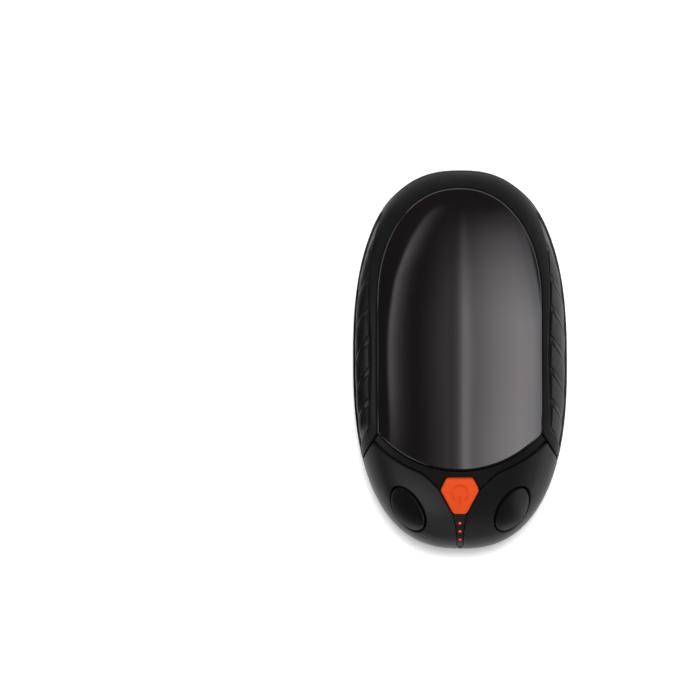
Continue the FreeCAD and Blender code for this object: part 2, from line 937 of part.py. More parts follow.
def make_usb_tongue():
    """Plastic insert of the charging socket: a closed rear and the contact tongue."""
    rear_end = usb_mouth() + usb_length
    rear = usb_block(-usb_metal - usb_fit, (rear_end - usb_rear, rear_end))
    level = board_bottom - usb_height / 2
    half = usb_tongue_width / 2
    thickness = (level - usb_tongue_thickness / 2, level + usb_tongue_thickness / 2)
    tongue = box((-half, half), (usb_mouth() + usb_tongue_setback, rear_end), thickness)
    return joined([rear, tongue])


def tube(points, bend, diameter):
    """Round wire along straight runs and tangent arcs."""
    path = Part.Wire(rounded_run(points, bend))
    circle = Part.makeCircle(diameter / 2, points[0], points[1] - points[0])
    wire = path.makePipeShell([Part.Wire(circle)], True, False)
    expected = math.pi * diameter ** 2 / 4 * path.Length
    print("wire volume", round(wire.Volume, 3), "section times length", round(expected, 3), "bend", bend)
    return wire


def make_battery_leads():
    """Two wires from the battery's head end to the socket on the board."""
    wires = []
    y = head_tip + socket_from_tip
    for x in (-battery_wire_spread, battery_wire_spread):
        points = [
            Vector(x, battery_head(), battery_wire_height),
            Vector(x, y, battery_wire_height),
            Vector(x, y, board_top + socket_height),
        ]
        wires.append(tube(points, battery_wire_bend, battery_wire_diameter))
    return Part.makeCompound(wires)


def make_heater_leads():
    """Two wires from the heater film down to the board."""
    wires = []
    end = head_tip + heater_wire_board_from_tip
    for x, y in heater_wire_places():
        start = film_underside(abs(x) + heater_wire_diameter / 2, y - heater_wire_diameter / 2) - bond_gap
        points = [
            Vector(x, y, start),
            Vector(x, y, heater_wire_level),
            Vector(x, end, heater_wire_level),
            Vector(x, end, board_top),
        ]
        wires.append(tube(points, heater_wire_bend, heater_wire_diameter))
    return Part.makeCompound(wires)


def build():
    """All pieces by node name."""
    cheek = make_cheek()
    eye = make_eye()
    grip = make_grip()
    tray_top = tray_bottom() + tray_floor
    return {
        "front_frame": make_front_frame(),
        "heat_panel": make_heat_panel(),
        "cheek_right": cheek,
        "cheek_left": mirrored(cheek),
        "eye_accent_right": eye,
        "eye_accent_left": mirrored(eye),
        "grip_right": grip,
        "grip_left": mirrored(grip),
        "power_button": make_power_button(),
        "light_strip": make_light_strip(),
        "light_pins": make_light_pins(),
        "status_leds": make_status_leds(),
        "led_flex": make_led_flex(),
        "back_cover": make_back_cover(),
        "magnets": make_magnets(),
        "inner_tray": make_inner_tray(),
        "tray_screws": screws(tray_screw_places(), tray_top),
        "battery_pad": make_battery_pad(),
        "battery_cell": make_battery_cell(),
        "battery_leads": make_battery_leads(),
        "heater_film": make_heater_film(),
        "insulation_pad": make_insulation_pad(),
        "thermistor": make_thermistor(),
        "heater_leads": make_heater_leads(),
        "main_board": make_main_board(),
        "board_screws": screws(board_screw_places(), board_top),
        "switch_body": make_switch_body(),
        "switch_plunger": make_switch_plunger(),
        "battery_socket": on_board(0, socket_from_tip, socket_width, socket_depth, socket_height),
        "controller_chip": chip(-chip_offset, chip_from_tip, chip_side, chip_height),
        "charge_chip": chip(chip_offset, chip_from_tip, charge_chip_side, charge_chip_height),
        "power_inductor": chip(-inductor_offset, inductor_from_tip, inductor_side, inductor_height),
        "usb_receptacle": make_usb_receptacle(),
        "usb_tongue": make_usb_tongue(),
    }


os.makedirs("parts", exist_ok=True)
for node, shape in build().items():
    shape.exportStep(os.path.join("parts", node + ".step"))
    print(node, "solids", len(shape.Solids), "valid", shape.isValid(), "volume", round(shape.Volume, 2))
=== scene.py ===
"""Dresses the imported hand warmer: moulded skins, rubber grips, the lit button end and a white studio."""
import logging
import math
from dataclasses import dataclass
from enum import Enum
from typing import Callable, Sequence

import bpy
import numpy as np
from bpy.types import Material, Mesh, Node, NodeSocket, NodeTree, Object
from mathutils import Matrix, Vector
from mathutils.geometry import delaunay_2d_cdt
from mathutils.kdtree import KDTree


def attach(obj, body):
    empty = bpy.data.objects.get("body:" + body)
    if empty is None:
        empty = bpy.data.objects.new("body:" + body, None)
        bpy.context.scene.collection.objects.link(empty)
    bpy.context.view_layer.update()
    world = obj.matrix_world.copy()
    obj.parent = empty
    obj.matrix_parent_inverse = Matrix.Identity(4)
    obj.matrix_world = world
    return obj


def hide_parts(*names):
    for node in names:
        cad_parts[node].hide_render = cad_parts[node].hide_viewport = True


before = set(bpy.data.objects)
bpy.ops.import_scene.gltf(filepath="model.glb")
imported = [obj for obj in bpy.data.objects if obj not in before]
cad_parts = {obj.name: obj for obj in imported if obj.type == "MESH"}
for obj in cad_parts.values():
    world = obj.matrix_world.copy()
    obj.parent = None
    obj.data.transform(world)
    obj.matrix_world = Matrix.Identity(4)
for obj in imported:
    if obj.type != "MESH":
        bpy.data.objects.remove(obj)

Array = np.ndarray
Lift = Callable[[Array], Array]
Rim = tuple[int, Array]
Span = tuple[float, float]
Place = tuple[float, float, float]
Stops = tuple[tuple[float, float], ...]
Colour = tuple[float, float, float, float]

LOG = logging.getLogger("hand_warmer")
MM = 0.001
FLIP = np.array((-1.0, 1.0, 1.0))
BLACK: Colour = (0.0, 0.0, 0.0, 1.0)
WHITE: Colour = (1.0, 1.0, 1.0, 1.0)

# Millimetres between points of a straight run, and within which points of a mesh are one.
FINE_STEP = 0.1
MERGE_STEP = 2e-4

# A direction that isn't along any normal of the skin, and the step for slopes on it in millimetres.
SKEW = np.array((0.31, 0.93, 0.17))
SLOPE_STEP = 0.02

# Halvings of a search; row height and clearance of a fill, in spacings; leans between which a rim wears, and
# on the button is painted darker as shade.
HALVINGS = 50
ROW_HEIGHT = 0.866
CLEARANCE = 0.6
WEAR_AND_SHADE_LEANS: Span = (10.0, 80.0)


class Body(Enum):
    """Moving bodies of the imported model."""

    CASE = "case"
    BUTTON = "button"


class Side(Enum):
    """Sides of the case, as the sign of X."""

    RIGHT = 1
    LEFT = -1


def unit(rows: Array) -> Array:
    """Rows of vectors scaled to length one."""
    return rows / np.maximum(np.linalg.norm(rows, axis=1, keepdims=True), 1e-12)


@dataclass(frozen=True)
class Pebble:
    """Outer form that every piece of skin lies on. Millimetres."""

    half_length: float = 50.0
    half_width: float = 28.15
    dome_height: float = 19.0
    plan_exponent: float = 2.48
    section_exponent: float = 3.1

    @property
    def axes(self) -> Array:
        """Half sizes across, along and up."""
        return np.array((self.half_width, self.half_length, self.dome_height))

    def reach(self, points: Array) -> Array:
        """How far out points lie, where the skin is at one.

        Args:
            points: Places in space.

        Returns:
            One number for each place.
        """
        ratio = np.abs(points / self.axes)
        plan = ratio[:, 0] ** self.plan_exponent + ratio[:, 1] ** self.plan_exponent
        section = self.section_exponent
        return (plan ** (section / self.plan_exponent) + ratio[:, 2] ** section) ** (1.0 / section)

    def onto(self, points: Array) -> Array:
        """Points brought onto the skin along lines through the centre."""
        return points / self.reach(points)[:, None]

    def normals(self, points: Array) -> Array:
        """Outward directions at points of the skin.

        Args:
            points: Places on the skin.

        Returns:
            Unit vectors.
        """
        ratio = points / self.axes
        size = np.abs(ratio)
        plan = size[:, 0] ** self.plan_exponent + size[:, 1] ** self.plan_exponent
        lean = plan ** (self.section_exponent / self.plan_exponent - 1.0)
        across = lean * size[:, 0] ** (self.plan_exponent - 1.0)
        along = lean * size[:, 1] ** (self.plan_exponent - 1.0)
        up = size[:, 2] ** (self.section_exponent - 1.0)
        return unit(np.sign(ratio) * np.column_stack((across, along, up)) / self.axes)

    def above(self, plan: Array) -> Array:
        """Points of the upper skin over places of the plan view.

        Args:
            plan: X and Y of each place.

        Returns:
            Places in space.
        """
        ratio = np.abs(plan / self.axes[:2]) ** self.plan_exponent
        rest = 1.0 - ratio.sum(axis=1) ** (self.section_exponent / self.plan_exponent)
        up = self.dome_height * np.maximum(rest, 0.0) ** (1.0 / self.section_exponent)
        return np.column_stack((plan, up))

    def _out(self, view: Array, half: float) -> Array:
        """Share of its full reach that the skin has at places of an upright view.

        Args:
            view: Place along the view and height of each place.
            half: Half size of the skin along the view.

        Returns:
            One share for each place.
        """
        level = 1.0 - np.abs(view[:, 1] / self.dome_height) ** self.section_exponent
        plan = level ** (self.plan_exponent / self.section_exponent)
        rest = plan - np.abs(view[:, 0] / half) ** self.plan_exponent
        return np.maximum(rest, 0.0) ** (1.0 / self.plan_exponent)

    def beside(self, view: Array) -> Array:
        """Points of the right-hand skin at places of the side view, given by Y and Z."""
        return np.column_stack((self.half_width * self._out(view, self.half_length), view))

    def ahead(self, view: Array) -> Array:
        """Points of the head's skin at places of the end view, given by X and Z."""
        along = -self.half_length * self._out(view, self.half_width)
        return np.column_stack((view[:, 0], along, view[:, 1]))

    def chart(self, points: Array) -> Array:
        """Flat map of points of the skin, centred on the crown.

        Args:
            points: Places on the skin.

        Returns:
            Two map coordinates for each place, in about millimetres near the crown.
        """
        ratio = points / self.axes
        tilt = np.arctan2(np.hypot(ratio[:, 0], ratio[:, 1]), ratio[:, 2])
        turn = np.arctan2(ratio[:, 1], ratio[:, 0])
        return np.column_stack((tilt * np.cos(turn), tilt * np.sin(turn))) * self.axes[:2]

    def towards(self, tilt: Array, turn: Array) -> Array:
        """Points of the skin at angles down from the crown, and about it from +X to +Y."""
        away = np.column_stack((np.sin(tilt) * np.cos(turn), np.sin(tilt) * np.sin(turn), np.cos(tilt)))
        return self.onto(away * self.axes)

    def from_chart(self, places: Array) -> Array:
        """Points of the skin at places of the flat map."""
        flat = places / self.axes[:2]
        return self.towards(np.hypot(flat[:, 0], flat[:, 1]), np.arctan2(flat[:, 1], flat[:, 0]))


@dataclass(frozen=True)
class SteppedBack:
    """Back profile along Y: flat, down to a lip at the head and up by the same step at the tail."""

    foot: float = 35.5
    run: float = 8.1
    height: float = 6.8
    radius: float = 5.5

    def level(self, along: Array) -> Array:
        """Height of the back at places along the length.

        Args:
            along: Values of Y.

        Returns:
            Values of Z.
        """
        out = np.abs(along)
        slope = self.height / self.run
        tangent = self.radius * math.tan(math.atan(slope) / 2)
        shift = tangent * math.cos(math.atan(slope))
        start = self.foot - tangent
        end = self.foot + self.run + tangent
        low = self.radius - np.sqrt(np.maximum(self.radius ** 2 - (out - start) ** 2, 0.0))
        high = self.height - self.radius + np.sqrt(np.maximum(self.radius ** 2 - (out - end) ** 2, 0.0))
        ramp = slope * (out - self.foot)
        ranges = [out < start, out < self.foot + shift, out < self.foot + self.run - shift, out < end]
        rise = np.select(ranges, [np.zeros_like(out), low, ramp, high], self.height)
        return np.sign(along) * rise


def run_lengths(points: Array) -> Array:
    """Length of a row of points from its start to each of them."""
    return np.concatenate(((0.0,), np.cumsum(np.linalg.norm(np.diff(points, axis=0), axis=1))))


def at_lengths(points: Array, marks: Array) -> Array:
    """Places on a row of points at lengths from its start."""
    lengths = run_lengths(points)
    return np.column_stack([np.interp(marks, lengths, column) for column in points.T])


def walk(points: Array, spacing: float, closed: bool = False) -> Array:
    """Points at even steps along a row of points.

    Args:
        points: The row.
        spacing: Length of a step.
        closed: Whether the row runs back to its start.

    Returns:
        The new row, with both ends of an open row kept.
    """
    row = np.vstack((points, points[:1])) if closed else points
    total = run_lengths(row)[-1]
    marks = np.linspace(0.0, total, max(int(round(total / spacing)), 2) + 1)
    return at_lengths(row, marks[:-1] if closed else marks)


def straight_runs(corners: Sequence[Sequence[float]], closed: bool = False) -> list[Array]:
    """Straight runs from corner to corner, each as a fine row of points."""
    row = [*corners, corners[0]] if closed else corners
    return [walk(np.array(pair), FINE_STEP) for pair in zip(row, row[1:])]


def cut_back(points: Array, start: float, end: float) -> Array:
    """An open row of points with a length taken off each end."""
    return at_lengths(points, np.linspace(start, run_lengths(points)[-1] - end, max(len(points), 3)))


def rounded_loop(runs: Sequence[Array], setbacks: Sequence[float], spacing: float) -> Array:
    """Closed loop from runs that meet end to start, with each meeting rounded.

    Args:
        runs: Rows of points in order.
        setbacks: How far back the rounding starts at the end of each run.
        spacing: Step of the finished loop.

    Returns:
        Points of the loop.
    """
    row: list[Array] = []
    share = np.linspace(0.0, 1.0, 9)[1:-1, None]
    for index, run in enumerate(runs):
        following = runs[(index + 1) % len(runs)]
        ending = setbacks[index]
        next_end = setbacks[(index + 1) % len(runs)]
        fine = cut_back(walk(run, spacing / 3), setbacks[index - 1], ending)
        ahead = cut_back(walk(following, spacing / 3), ending, next_end)
        row.append(fine)
        if ending > 0.0:
            corner = run[-1]
            row.append((1 - share) ** 2 * fine[-1] + 2 * share * (1 - share) * corner + share ** 2 * ahead[0])
    points = np.vstack(row)
    keep = np.linalg.norm(points - np.roll(points, 1, axis=0), axis=1) > 1e-6
    return walk(points[keep], spacing, closed=True)


def turned_area(places: Array) -> float:
    """Area inside a flat loop, negative when it runs clockwise."""
    ahead = np.roll(places, -1, axis=0)
    return float((places[:, 0] * ahead[:, 1] - places[:, 1] * ahead[:, 0]).sum() / 2)


def inside(places: Array, outlines: Sequence[Array]) -> Array:
    """Which places lie within closed outlines, with holes left out.

    Args:
        places: Flat places to test.
        outlines: Flat loops, the holes among them.

    Returns:
        True for each place that is within.
    """
    within = np.zeros(len(places), bool)
    across, along = places[:, 0], places[:, 1]
    for outline in outlines:
        for (x0, y0), (x1, y1) in zip(outline, np.roll(outline, -1, axis=0)):
            spans = (y0 > along) != (y1 > along)
            if spans.any():
                crossing = x0 + (along[spans] - y0) * (x1 - x0) / (y1 - y0)
                within[spans] ^= across[spans] < crossing
    return within


def interior_places(outlines: Sequence[Array], spacing: float) -> Array:
    """Staggered rows of places inside outlines and clear of their edges.

    Args:
        outlines: Flat loops, the holes among them.
        spacing: Distance between places.

    Returns:
        Flat places.
    """
    rim = np.concatenate(outlines)
    low, high = rim.min(axis=0), rim.max(axis=0)
    rows = np.arange(low[1], high[1], spacing * ROW_HEIGHT)
    across, along = np.meshgrid(np.arange(low[0], high[0], spacing), rows)
    across[1::2] += spacing / 2
    places = np.column_stack((across.ravel(), along.ravel()))
    places = places[inside(places, outlines)]
    tree = KDTree(len(rim))
    for index, place in enumerate(rim):
        tree.insert((place[0], place[1], 0.0), index)
    tree.balance()
    keep = [tree.find((place[0], place[1], 0.0))[2] > CLEARANCE * spacing for place in places]
    return places[np.array(keep, bool)] if len(places) else places


def triangles_between(outlines: Sequence[Array], inner: Array) -> Array:
    """Triangles that fill the space between flat outlines.

    Args:
        outlines: Flat loops, the holes among them.
        inner: Further places inside.

    Returns:
        Rows of three numbers that count through the outlines and then the inner places.
    """
    places = np.concatenate([*outlines, inner])
    edges: list[tuple[int, int]] = []
    first = 0
    for outline in outlines:
        count = len(outline)
        edges += [(first + index, first + (index + 1) % count) for index in range(count)]
        first += count
    made = delaunay_2d_cdt([Vector(place) for place in places.tolist()], edges, [], 0, 1e-9)
    source = [names[0] for names in made[3]]
    faces = np.array([[source[corner] for corner in face] for face in made[2]])
    middles = places[faces].mean(axis=1)
    faces = faces[inside(middles, outlines)]
    one, two, three = (places[faces[:, corner]] for corner in range(3))
    ahead, aside = two - one, three - one
    turn = ahead[:, 0] * aside[:, 1] - ahead[:, 1] * aside[:, 0]
    faces[turn < 0] = faces[turn < 0][:, ::-1]
    return faces


def store(mesh: Mesh, name: str, values: Array) -> None:
    """Stores a number or a direction on each point of a mesh, under a name."""
    kind, label = ("FLOAT", "value") if values.ndim == 1 else ("FLOAT_VECTOR", "vector")
    mesh.attributes.new(name, kind, "POINT").data.foreach_set(label, values.ravel())


class MeshMaker:
    """Collects points with their shading directions, and faces, and makes one closed mesh of them."""

    def __init__(self) -> None:
        """Starts empty."""
        self._places: list[Array] = []
        self._shades: list[Array] = []
        self._rims: list[Array] = []
        self._faces: list[tuple[int, ...]] = []
        self._count = 0

    def points(self, places: Array, shades: Array, rim: float = 0.0) -> int:
        """Adds points.

        Args:
            places: Millimetres.
            shades: Direction that each point is shaded by.
            rim: How much the points belong to a rim, from 0 to 1, which wears, and on the button is painted
                darker as shade.

        Returns:
            Number of the first point added.
        """
        first = self._count
        self._places.append(places)
        self._shades.append(shades)
        self._rims.append(np.full(len(places), rim))
        self._count += len(places)
        return first

    def band(self, lower: int, upper: int, count: int) -> None:
        """Joins two closed rings of points, seen with the upper one on the left of the run."""
        for index in range(count):
            ahead = (index + 1) % count
            self._faces.append((lower + index, lower + ahead, upper + ahead, upper + index))

    def faces(self, faces: Array) -> None:
        """Adds faces by the numbers of their points."""
        self._faces += [tuple(face) for face in faces.tolist()]

    def mirrored(self) -> "MeshMaker":
        """The same mesh on the other side of the case."""
        other = MeshMaker()
        other._places = [places * FLIP for places in self._places]
        other._shades = [shades * FLIP for shades in self._shades]
        other._rims = list(self._rims)
        other._faces = [face[::-1] for face in self._faces]
        other._count = self._count
        return other

    def mesh(self, name: str) -> Mesh:
        """Makes the mesh, with points that coincide merged.

        Args:
            name: Name of the mesh.

        Returns:
            A mesh in metres with its shading directions and rim attribute.
        """
        places = np.concatenate(self._places)
        shades = unit(np.concatenate(self._shades))
        rims = np.concatenate(self._rims)
        cells = np.round(places / MERGE_STEP).astype(np.int64)
        _, first, merged = np.unique(cells, axis=0, return_index=True, return_inverse=True)
        merged = merged.ravel()
        faces: list[list[int]] = []
        directions: list[Array] = []
        for face in self._faces:
            corners = [corner for spot, corner in enumerate(face) if merged[corner] != merged[face[spot - 1]]]
            if len({int(merged[corner]) for corner in corners}) == len(corners) > 2:
                faces.append([int(merged[corner]) for corner in corners])
                directions += [shades[corner] for corner in corners]
        made = bpy.data.meshes.new(name)
        made.from_pydata((places[first] * MM).tolist(), [], faces)
        made.shade_smooth()
        made.normals_split_custom_set([tuple(direction) for direction in directions])
        rim = np.zeros(len(first))
        np.maximum.at(rim, merged, rims)
        store(made, "rim", rim)
        return made


@dataclass(frozen=True)
class Ring:
    """One step of an edge's profile: in from the outline, down from the skin, and how it is shaded."""

    inset: float
    depth: float
    lean: float
    rim: float = 0.0


def rolled_edge(radius: float, wall: float, steps: int = 5) -> tuple[Ring, ...]:
    """Profile of a moulded edge: a quarter roll and a straight wall.

    Args:
        radius: Radius of the roll.
        wall: Depth of the wall's foot.
        steps: Steps round the roll.

    Returns:
        Rings from the skin downwards.
    """
    rings = []
    for angle in np.linspace(90.0, 0.0, steps + 1):
        turn = math.radians(angle)
        rim = 1.0 if WEAR_AND_SHADE_LEANS[0] < angle < WEAR_AND_SHADE_LEANS[1] else 0.0
        rings.append(Ring(radius * (1 - math.cos(turn)), radius * (1 - math.sin(turn)), float(angle), rim))
    rings.append(Ring(0.0, wall, 0.0))
    return tuple(rings)


@dataclass(frozen=True)
class SkinLoop:
    """Closed outline on the skin and the profile of the edge that runs along it."""

    points: Array
    edge: tuple[Ring, ...]


@dataclass(frozen=True)
class SkinShell:
    """Closed shell that follows the pebble, with holes, and with pockets that have floors of their own.

    Its lift over the pebble is one number, or a function of places on the skin.
    """

    skin: Pebble
    outline: SkinLoop
    holes: Sequence[SkinLoop] = ()
    pockets: Sequence[SkinLoop] = ()
    lift: float | Lift = 0.0
    spacing: float = 0.9
    under_spacing: float = 3.0

    def mesh(self, name: str) -> Mesh:
        """Makes the shell as a mesh of its own."""
        maker = MeshMaker()
        self.add_to(maker)
        return maker.mesh(name)

    def add_to(self, maker: MeshMaker) -> None:
        """Adds the shell's faces to a mesh.

        Args:
            maker: Mesh to add to.
        """
        tops: list[Rim] = []
        feet: list[Rim] = []
        for loop in (self.outline, *self.holes):
            top, foot = self._edge(maker, loop, loop is not self.outline, True)
            tops.append(top)
            feet.append(foot)
        for loop in self.pockets:
            top, foot = self._edge(maker, loop, True, False)
            tops.append(top)
            self._fill(maker, [foot], self.spacing, loop.edge[-1].depth, False)
        self._fill(maker, tops, self.spacing, 0.0, False)
        self._fill(maker, feet, self.under_spacing, self.outline.edge[-1].depth, True)

    def _placed(self, base: Array, depth: float) -> tuple[Array, Array]:
        """Points at a depth under the shell's face.

        Args:
            base: Places on the skin.
            depth: Depth under the face.

        Returns:
            The points, and the face's directions there.
        """
        facing = self.skin.normals(base)
        if not callable(self.lift):
            return base + facing * (self.lift - depth), facing
        lift = self.lift(base)
        aside = unit(np.cross(facing, SKEW))
        tilted = facing
        for way in (aside, np.cross(facing, aside)):
            climb = (self.lift(self.skin.onto(base + way * SLOPE_STEP)) - lift) / SLOPE_STEP
            tilted = tilted - way * climb[:, None]
        return base + facing * (lift - depth)[:, None], unit(tilted)

    def _edge(self, maker: MeshMaker, loop: SkinLoop, hole: bool, through: bool) -> tuple[Rim, Rim]:
        """Adds the rings of one edge.

        Args:
            maker: Mesh to add to.
            loop: The edge.
            hole: Whether the face lies outside it.
            through: Whether its foot is on the shell's underside.

        Returns:
            Its first and its last ring.
        """
        points = loop.points
        if (turned_area(self.skin.chart(points)) < 0) != hole:
            points = points[::-1]
        tangents = unit(np.roll(points, -1, axis=0) - np.roll(points, 1, axis=0))
        inward = unit(np.cross(self.skin.normals(points), tangents))
        rings: list[Rim] = []
        for ring in loop.edge:
            base = self.skin.onto(points + inward * ring.inset)
            places, facing = self._placed(base, ring.depth)
            lean = math.radians(ring.lean)
            shades = facing * math.sin(lean) - inward * math.cos(lean)
            rings.append((maker.points(places, shades, ring.rim), base))
        for upper, lower in zip(rings, rings[1:]):
            maker.band(lower[0], upper[0], len(points))
        base = rings[-1][1]
        places, facing = self._placed(base, loop.edge[-1].depth)
        foot = maker.points(places, -facing if through else facing)
        return rings[0], (foot, base)

    def _fill(self, maker: MeshMaker, rims: Sequence[Rim], spacing: float, depth: float, under: bool) -> None:
        """Fills the space between rings of points with triangles that follow the skin.

        Args:
            maker: Mesh to add to.
            rims: The rings.
            spacing: Distance between points.
            depth: Depth under the shell's face.
            under: Whether the fill is the shell's underside.
        """
        outlines = [self.skin.chart(base) for _, base in rims]
        inner = interior_places(outlines, spacing)
        faces = triangles_between(outlines, inner)
        numbers = [np.arange(first, first + len(base)) for first, base in rims]
        if len(inner):
            places, facing = self._placed(self.skin.from_chart(inner), depth)
            first = maker.points(places, -facing if under else facing)
            numbers.append(np.arange(first, first + len(inner)))
        numbered = np.concatenate(numbers)[faces]
        maker.faces(numbered[:, ::-1] if under else numbered)


@dataclass(frozen=True)
class Layout:
    """Outlines that neighbouring pieces of the skin share. Millimetres."""

    skin: Pebble = Pebble()
    back: SteppedBack = SteppedBack()
    step: float = 0.28
    button_step: float = 0.16
    panel_half_width: float = 21.1
    panel_head: float = -29.1
    panel_head_radius: float = 28.0
    panel_shoulder: float = 14.0
    panel_crown: float = 29.7
    panel_crown_exponent: float = 2.15
    bridge_width: float = 2.1
    bridge_neck: float = 9.5
    seam_angle: float = 56.7
    button_along: float = -34.1
    button_top: tuple[float, float] = (3.45, 3.1)
    button_half_width: float = 5.0
    button_low: tuple[float, float] = (1.7, -6.2)
    strip_shoulder: tuple[float, float] = (0.8, -45.0)
    strip_tip: float = 0.7
    strip_bottom: float = 4.8
    strip_taper_foot: float = 8.0
    socket_half_width: float = 4.72
    socket_top: float = 2.85
    socket_bottom: float = -0.91
    cover_rise: float = 1.55
    run_points: int = 60
    crown_points: int = 161
    crown_step: float = 0.15
    seam_points: int = 80
    seam_reach: float = 40.0
    back_tilts: Span = (35.0, 125.0)

    @property
    def arc_centre(self) -> float:
        """Place along Y of the centre of the panel's round lower edge."""
        return self.panel_head + self.panel_head_radius

    def panel_width(self, along: Array) -> Array:
        """Half width of the panel at places along the length."""
        over = np.clip((along - self.panel_shoulder) / self.panel_crown, 0.0, 1.0)
        power = self.panel_crown_exponent
        return self.panel_half_width * (1.0 - over ** power) ** (1.0 / power)

    def panel_corner(self, grow: float) -> Array:
        """Right-hand lower corner of the panel's outline, grown by a distance."""
        half = self.panel_half_width + grow
        radius = self.panel_head_radius + grow
        return np.array((half, self.arc_centre - math.sqrt(radius ** 2 - half ** 2)))

    def panel_crown_run(self, grow: float) -> Array:
        """Plan of the panel's edge from its right corner over the tail to its left corner.

        Args:
            grow: Distance that the edge is moved outwards.

        Returns:
            Flat places.
        """
        power = 2.0 / self.panel_crown_exponent
        angles = np.linspace(-math.pi / 2, math.pi / 2, self.crown_points)[::-1]
        across = np.sign(angles) * np.abs(np.sin(angles)) ** power
        along = np.abs(np.cos(angles)) ** power
        half = self.panel_half_width + grow
        arch = np.column_stack((half * across, self.panel_shoulder + (self.panel_crown + grow) * along))
        corner = self.panel_corner(grow)
        return walk(np.vstack((corner, arch, corner * (-1, 1))), self.crown_step)

    def panel_loop(self, grow: float, setback: float, step: float | None = None) -> Array:
        """Closed outline of the panel on the skin.

        Args:
            grow: Distance that it is moved outwards.
            setback: How far back the rounding of its lower corners starts.
            step: Distance between points.

        Returns:
            Places on the skin.
        """
        half = self.panel_half_width + grow
        head = self.arc_run(self.panel_head_radius + grow, -half, half)
        runs = [self.skin.above(run) for run in (self.panel_crown_run(grow), head)]
        return self.loop(runs, [setback] * 2, step)

    def arc_run(self, radius: float, start: float, end: float) -> Array:
        """Plan of an arc about the centre of the panel's lower edge, between two places across."""
        turn = np.linspace(math.asin(start / radius), math.asin(end / radius), self.run_points)
        return np.column_stack((radius * np.sin(turn), self.arc_centre - radius * np.cos(turn)))

    def seam_direction(self) -> Array:
        """Plan direction of the right-hand seam between cheek and side, outwards."""
        angle = math.radians(self.seam_angle)
        return np.array((math.cos(angle), -math.sin(angle)))

    def seam_start(self, gap: float) -> Array:
        """Plan place from which that seam runs, moved towards the head by a gap."""
        angle = math.radians(self.seam_angle)
        return self.panel_corner(0.0) - gap * np.array((math.sin(angle), math.cos(angle)))

    def seam_meets_arc(self, gap: float, radius: float) -> Array:
        """Plan place where the seam crosses an arc about the panel's lower centre.

        Args:
            gap: How far the seam is moved towards the head.
            radius: Radius of the arc.

        Returns:
            The flat place.
        """
        start = self.seam_start(gap)
        offset = start - np.array((0.0, self.arc_centre))
        forward = float(offset @ self.seam_direction())
        run = -forward + math.sqrt(forward ** 2 + radius ** 2 - float(offset @ offset))
        return start + self.seam_direction() * run

    def seam_run(self, start: Array) -> Array:
        """Right-hand cheek seam on the skin, down to the back seam.

        Args:
            start: Plan place on the seam from which it runs.

        Returns:
            Places on the skin.
        """
        count = self.seam_points
        levels = np.linspace(self.skin.above(start[None, :])[0, 2], self.cover_rise, count)
        low, high = np.zeros(count), np.full(count, self.seam_reach)
        for _ in range(HALVINGS):
            middle = (low + high) / 2
            plan = start + middle[:, None] * self.seam_direction()
            out = self.skin.reach(np.column_stack((plan, levels))) > 1.0
            low, high = np.where(out, low, middle), np.where(out, middle, high)
        return np.column_stack((start + low[:, None] * self.seam_direction(), levels))

    def strip_run(self, gap: float, tip: float, foot: float) -> tuple[Array, Array]:
        """Right-hand edge of the light strip down the head.

        Args:
            gap: How far the edge is moved out at the strip's shoulder.
            tip: Place across at the strip's tip.
            foot: Level at which the edge ends.

        Returns:
            Plan place of the shoulder, and the points of the skin from there down.
        """
        shoulder = np.array((self.strip_shoulder[0] + gap, self.strip_shoulder[1]))
        top = self.skin.above(shoulder[None, :])[0, 2]
        levels = np.linspace(top, foot, self.run_points)
        share = np.clip((levels - self.strip_taper_foot) / (top - self.strip_taper_foot), 0.0, 1.0)
        return shoulder, self.skin.ahead(np.column_stack((tip + (shoulder[0] - tip) * share, levels)))

    def back_run(self, rise: float, turns: Array) -> Array:
        """Points of the skin at a rise above the stepped back, in directions of the map.

        Args:
            rise: Height over the back.
            turns: Angles about the crown.

        Returns:
            Places on the skin.
        """
        low, high = (np.full(len(turns), math.radians(tilt)) for tilt in self.back_tilts)
        for _ in range(HALVINGS):
            middle = (low + high) / 2
            points = self.skin.towards(middle, turns)
            over = points[:, 2] > self.back.level(points[:, 1]) + rise
            low, high = np.where(over, middle, low), np.where(over, high, middle)
        return points

    def turn_of(self, point: Array) -> float:
        """Angle about the crown at which a point of the skin lies on the map."""
        place = self.skin.chart(point[None, :])[0] / self.skin.axes[:2]
        return math.atan2(place[1], place[0])

    def loop(self, runs: Sequence[Array], setbacks: Sequence[float], step: float | None = None) -> Array:
        """Closed loop on the skin from runs on it, with rounded meetings."""
        return self.skin.onto(rounded_loop(runs, setbacks, step or self.step))

    def button_corners(self, grow: float) -> Array:
        """Six plan corners of the button, counter-clockwise from the top right.

        Args:
            grow: Distance that its sides are moved outwards.

        Returns:
            Flat places.
        """
        (across, top), (narrow, low), half = self.button_top, self.button_low, self.button_half_width
        right = np.array(((narrow, low), (half, 0.0), (across, top)))
        corners = np.vstack((right[2:], right[::-1] * (-1, 1), right[:2]))
        return grown_polygon(corners + (0.0, self.button_along), grow)

    def button_loop(self, grow: float, rounding: float) -> Array:
        """Six-sided outline of the button on the skin, grown by a distance."""
        runs = [self.skin.above(run) for run in straight_runs(self.button_corners(grow), closed=True)]
        return self.loop(runs, [rounding] * len(runs), self.button_step)


def grown_polygon(corners: Array, grow: float) -> Array:
    """Corners of a polygon whose sides are moved outwards by a distance.

    Args:
        corners: Flat corners, counter-clockwise.
        grow: Distance.

    Returns:
        New corners.
    """
    ahead = unit(np.roll(corners, -1, axis=0) - corners)
    behind = np.roll(ahead, 1, axis=0)
    out_ahead = np.column_stack((ahead[:, 1], -ahead[:, 0]))
    out_behind = np.column_stack((behind[:, 1], -behind[:, 0]))
    bisector = unit(out_ahead + out_behind)
    return corners + bisector * (grow / (bisector * out_ahead).sum(axis=1, keepdims=True))


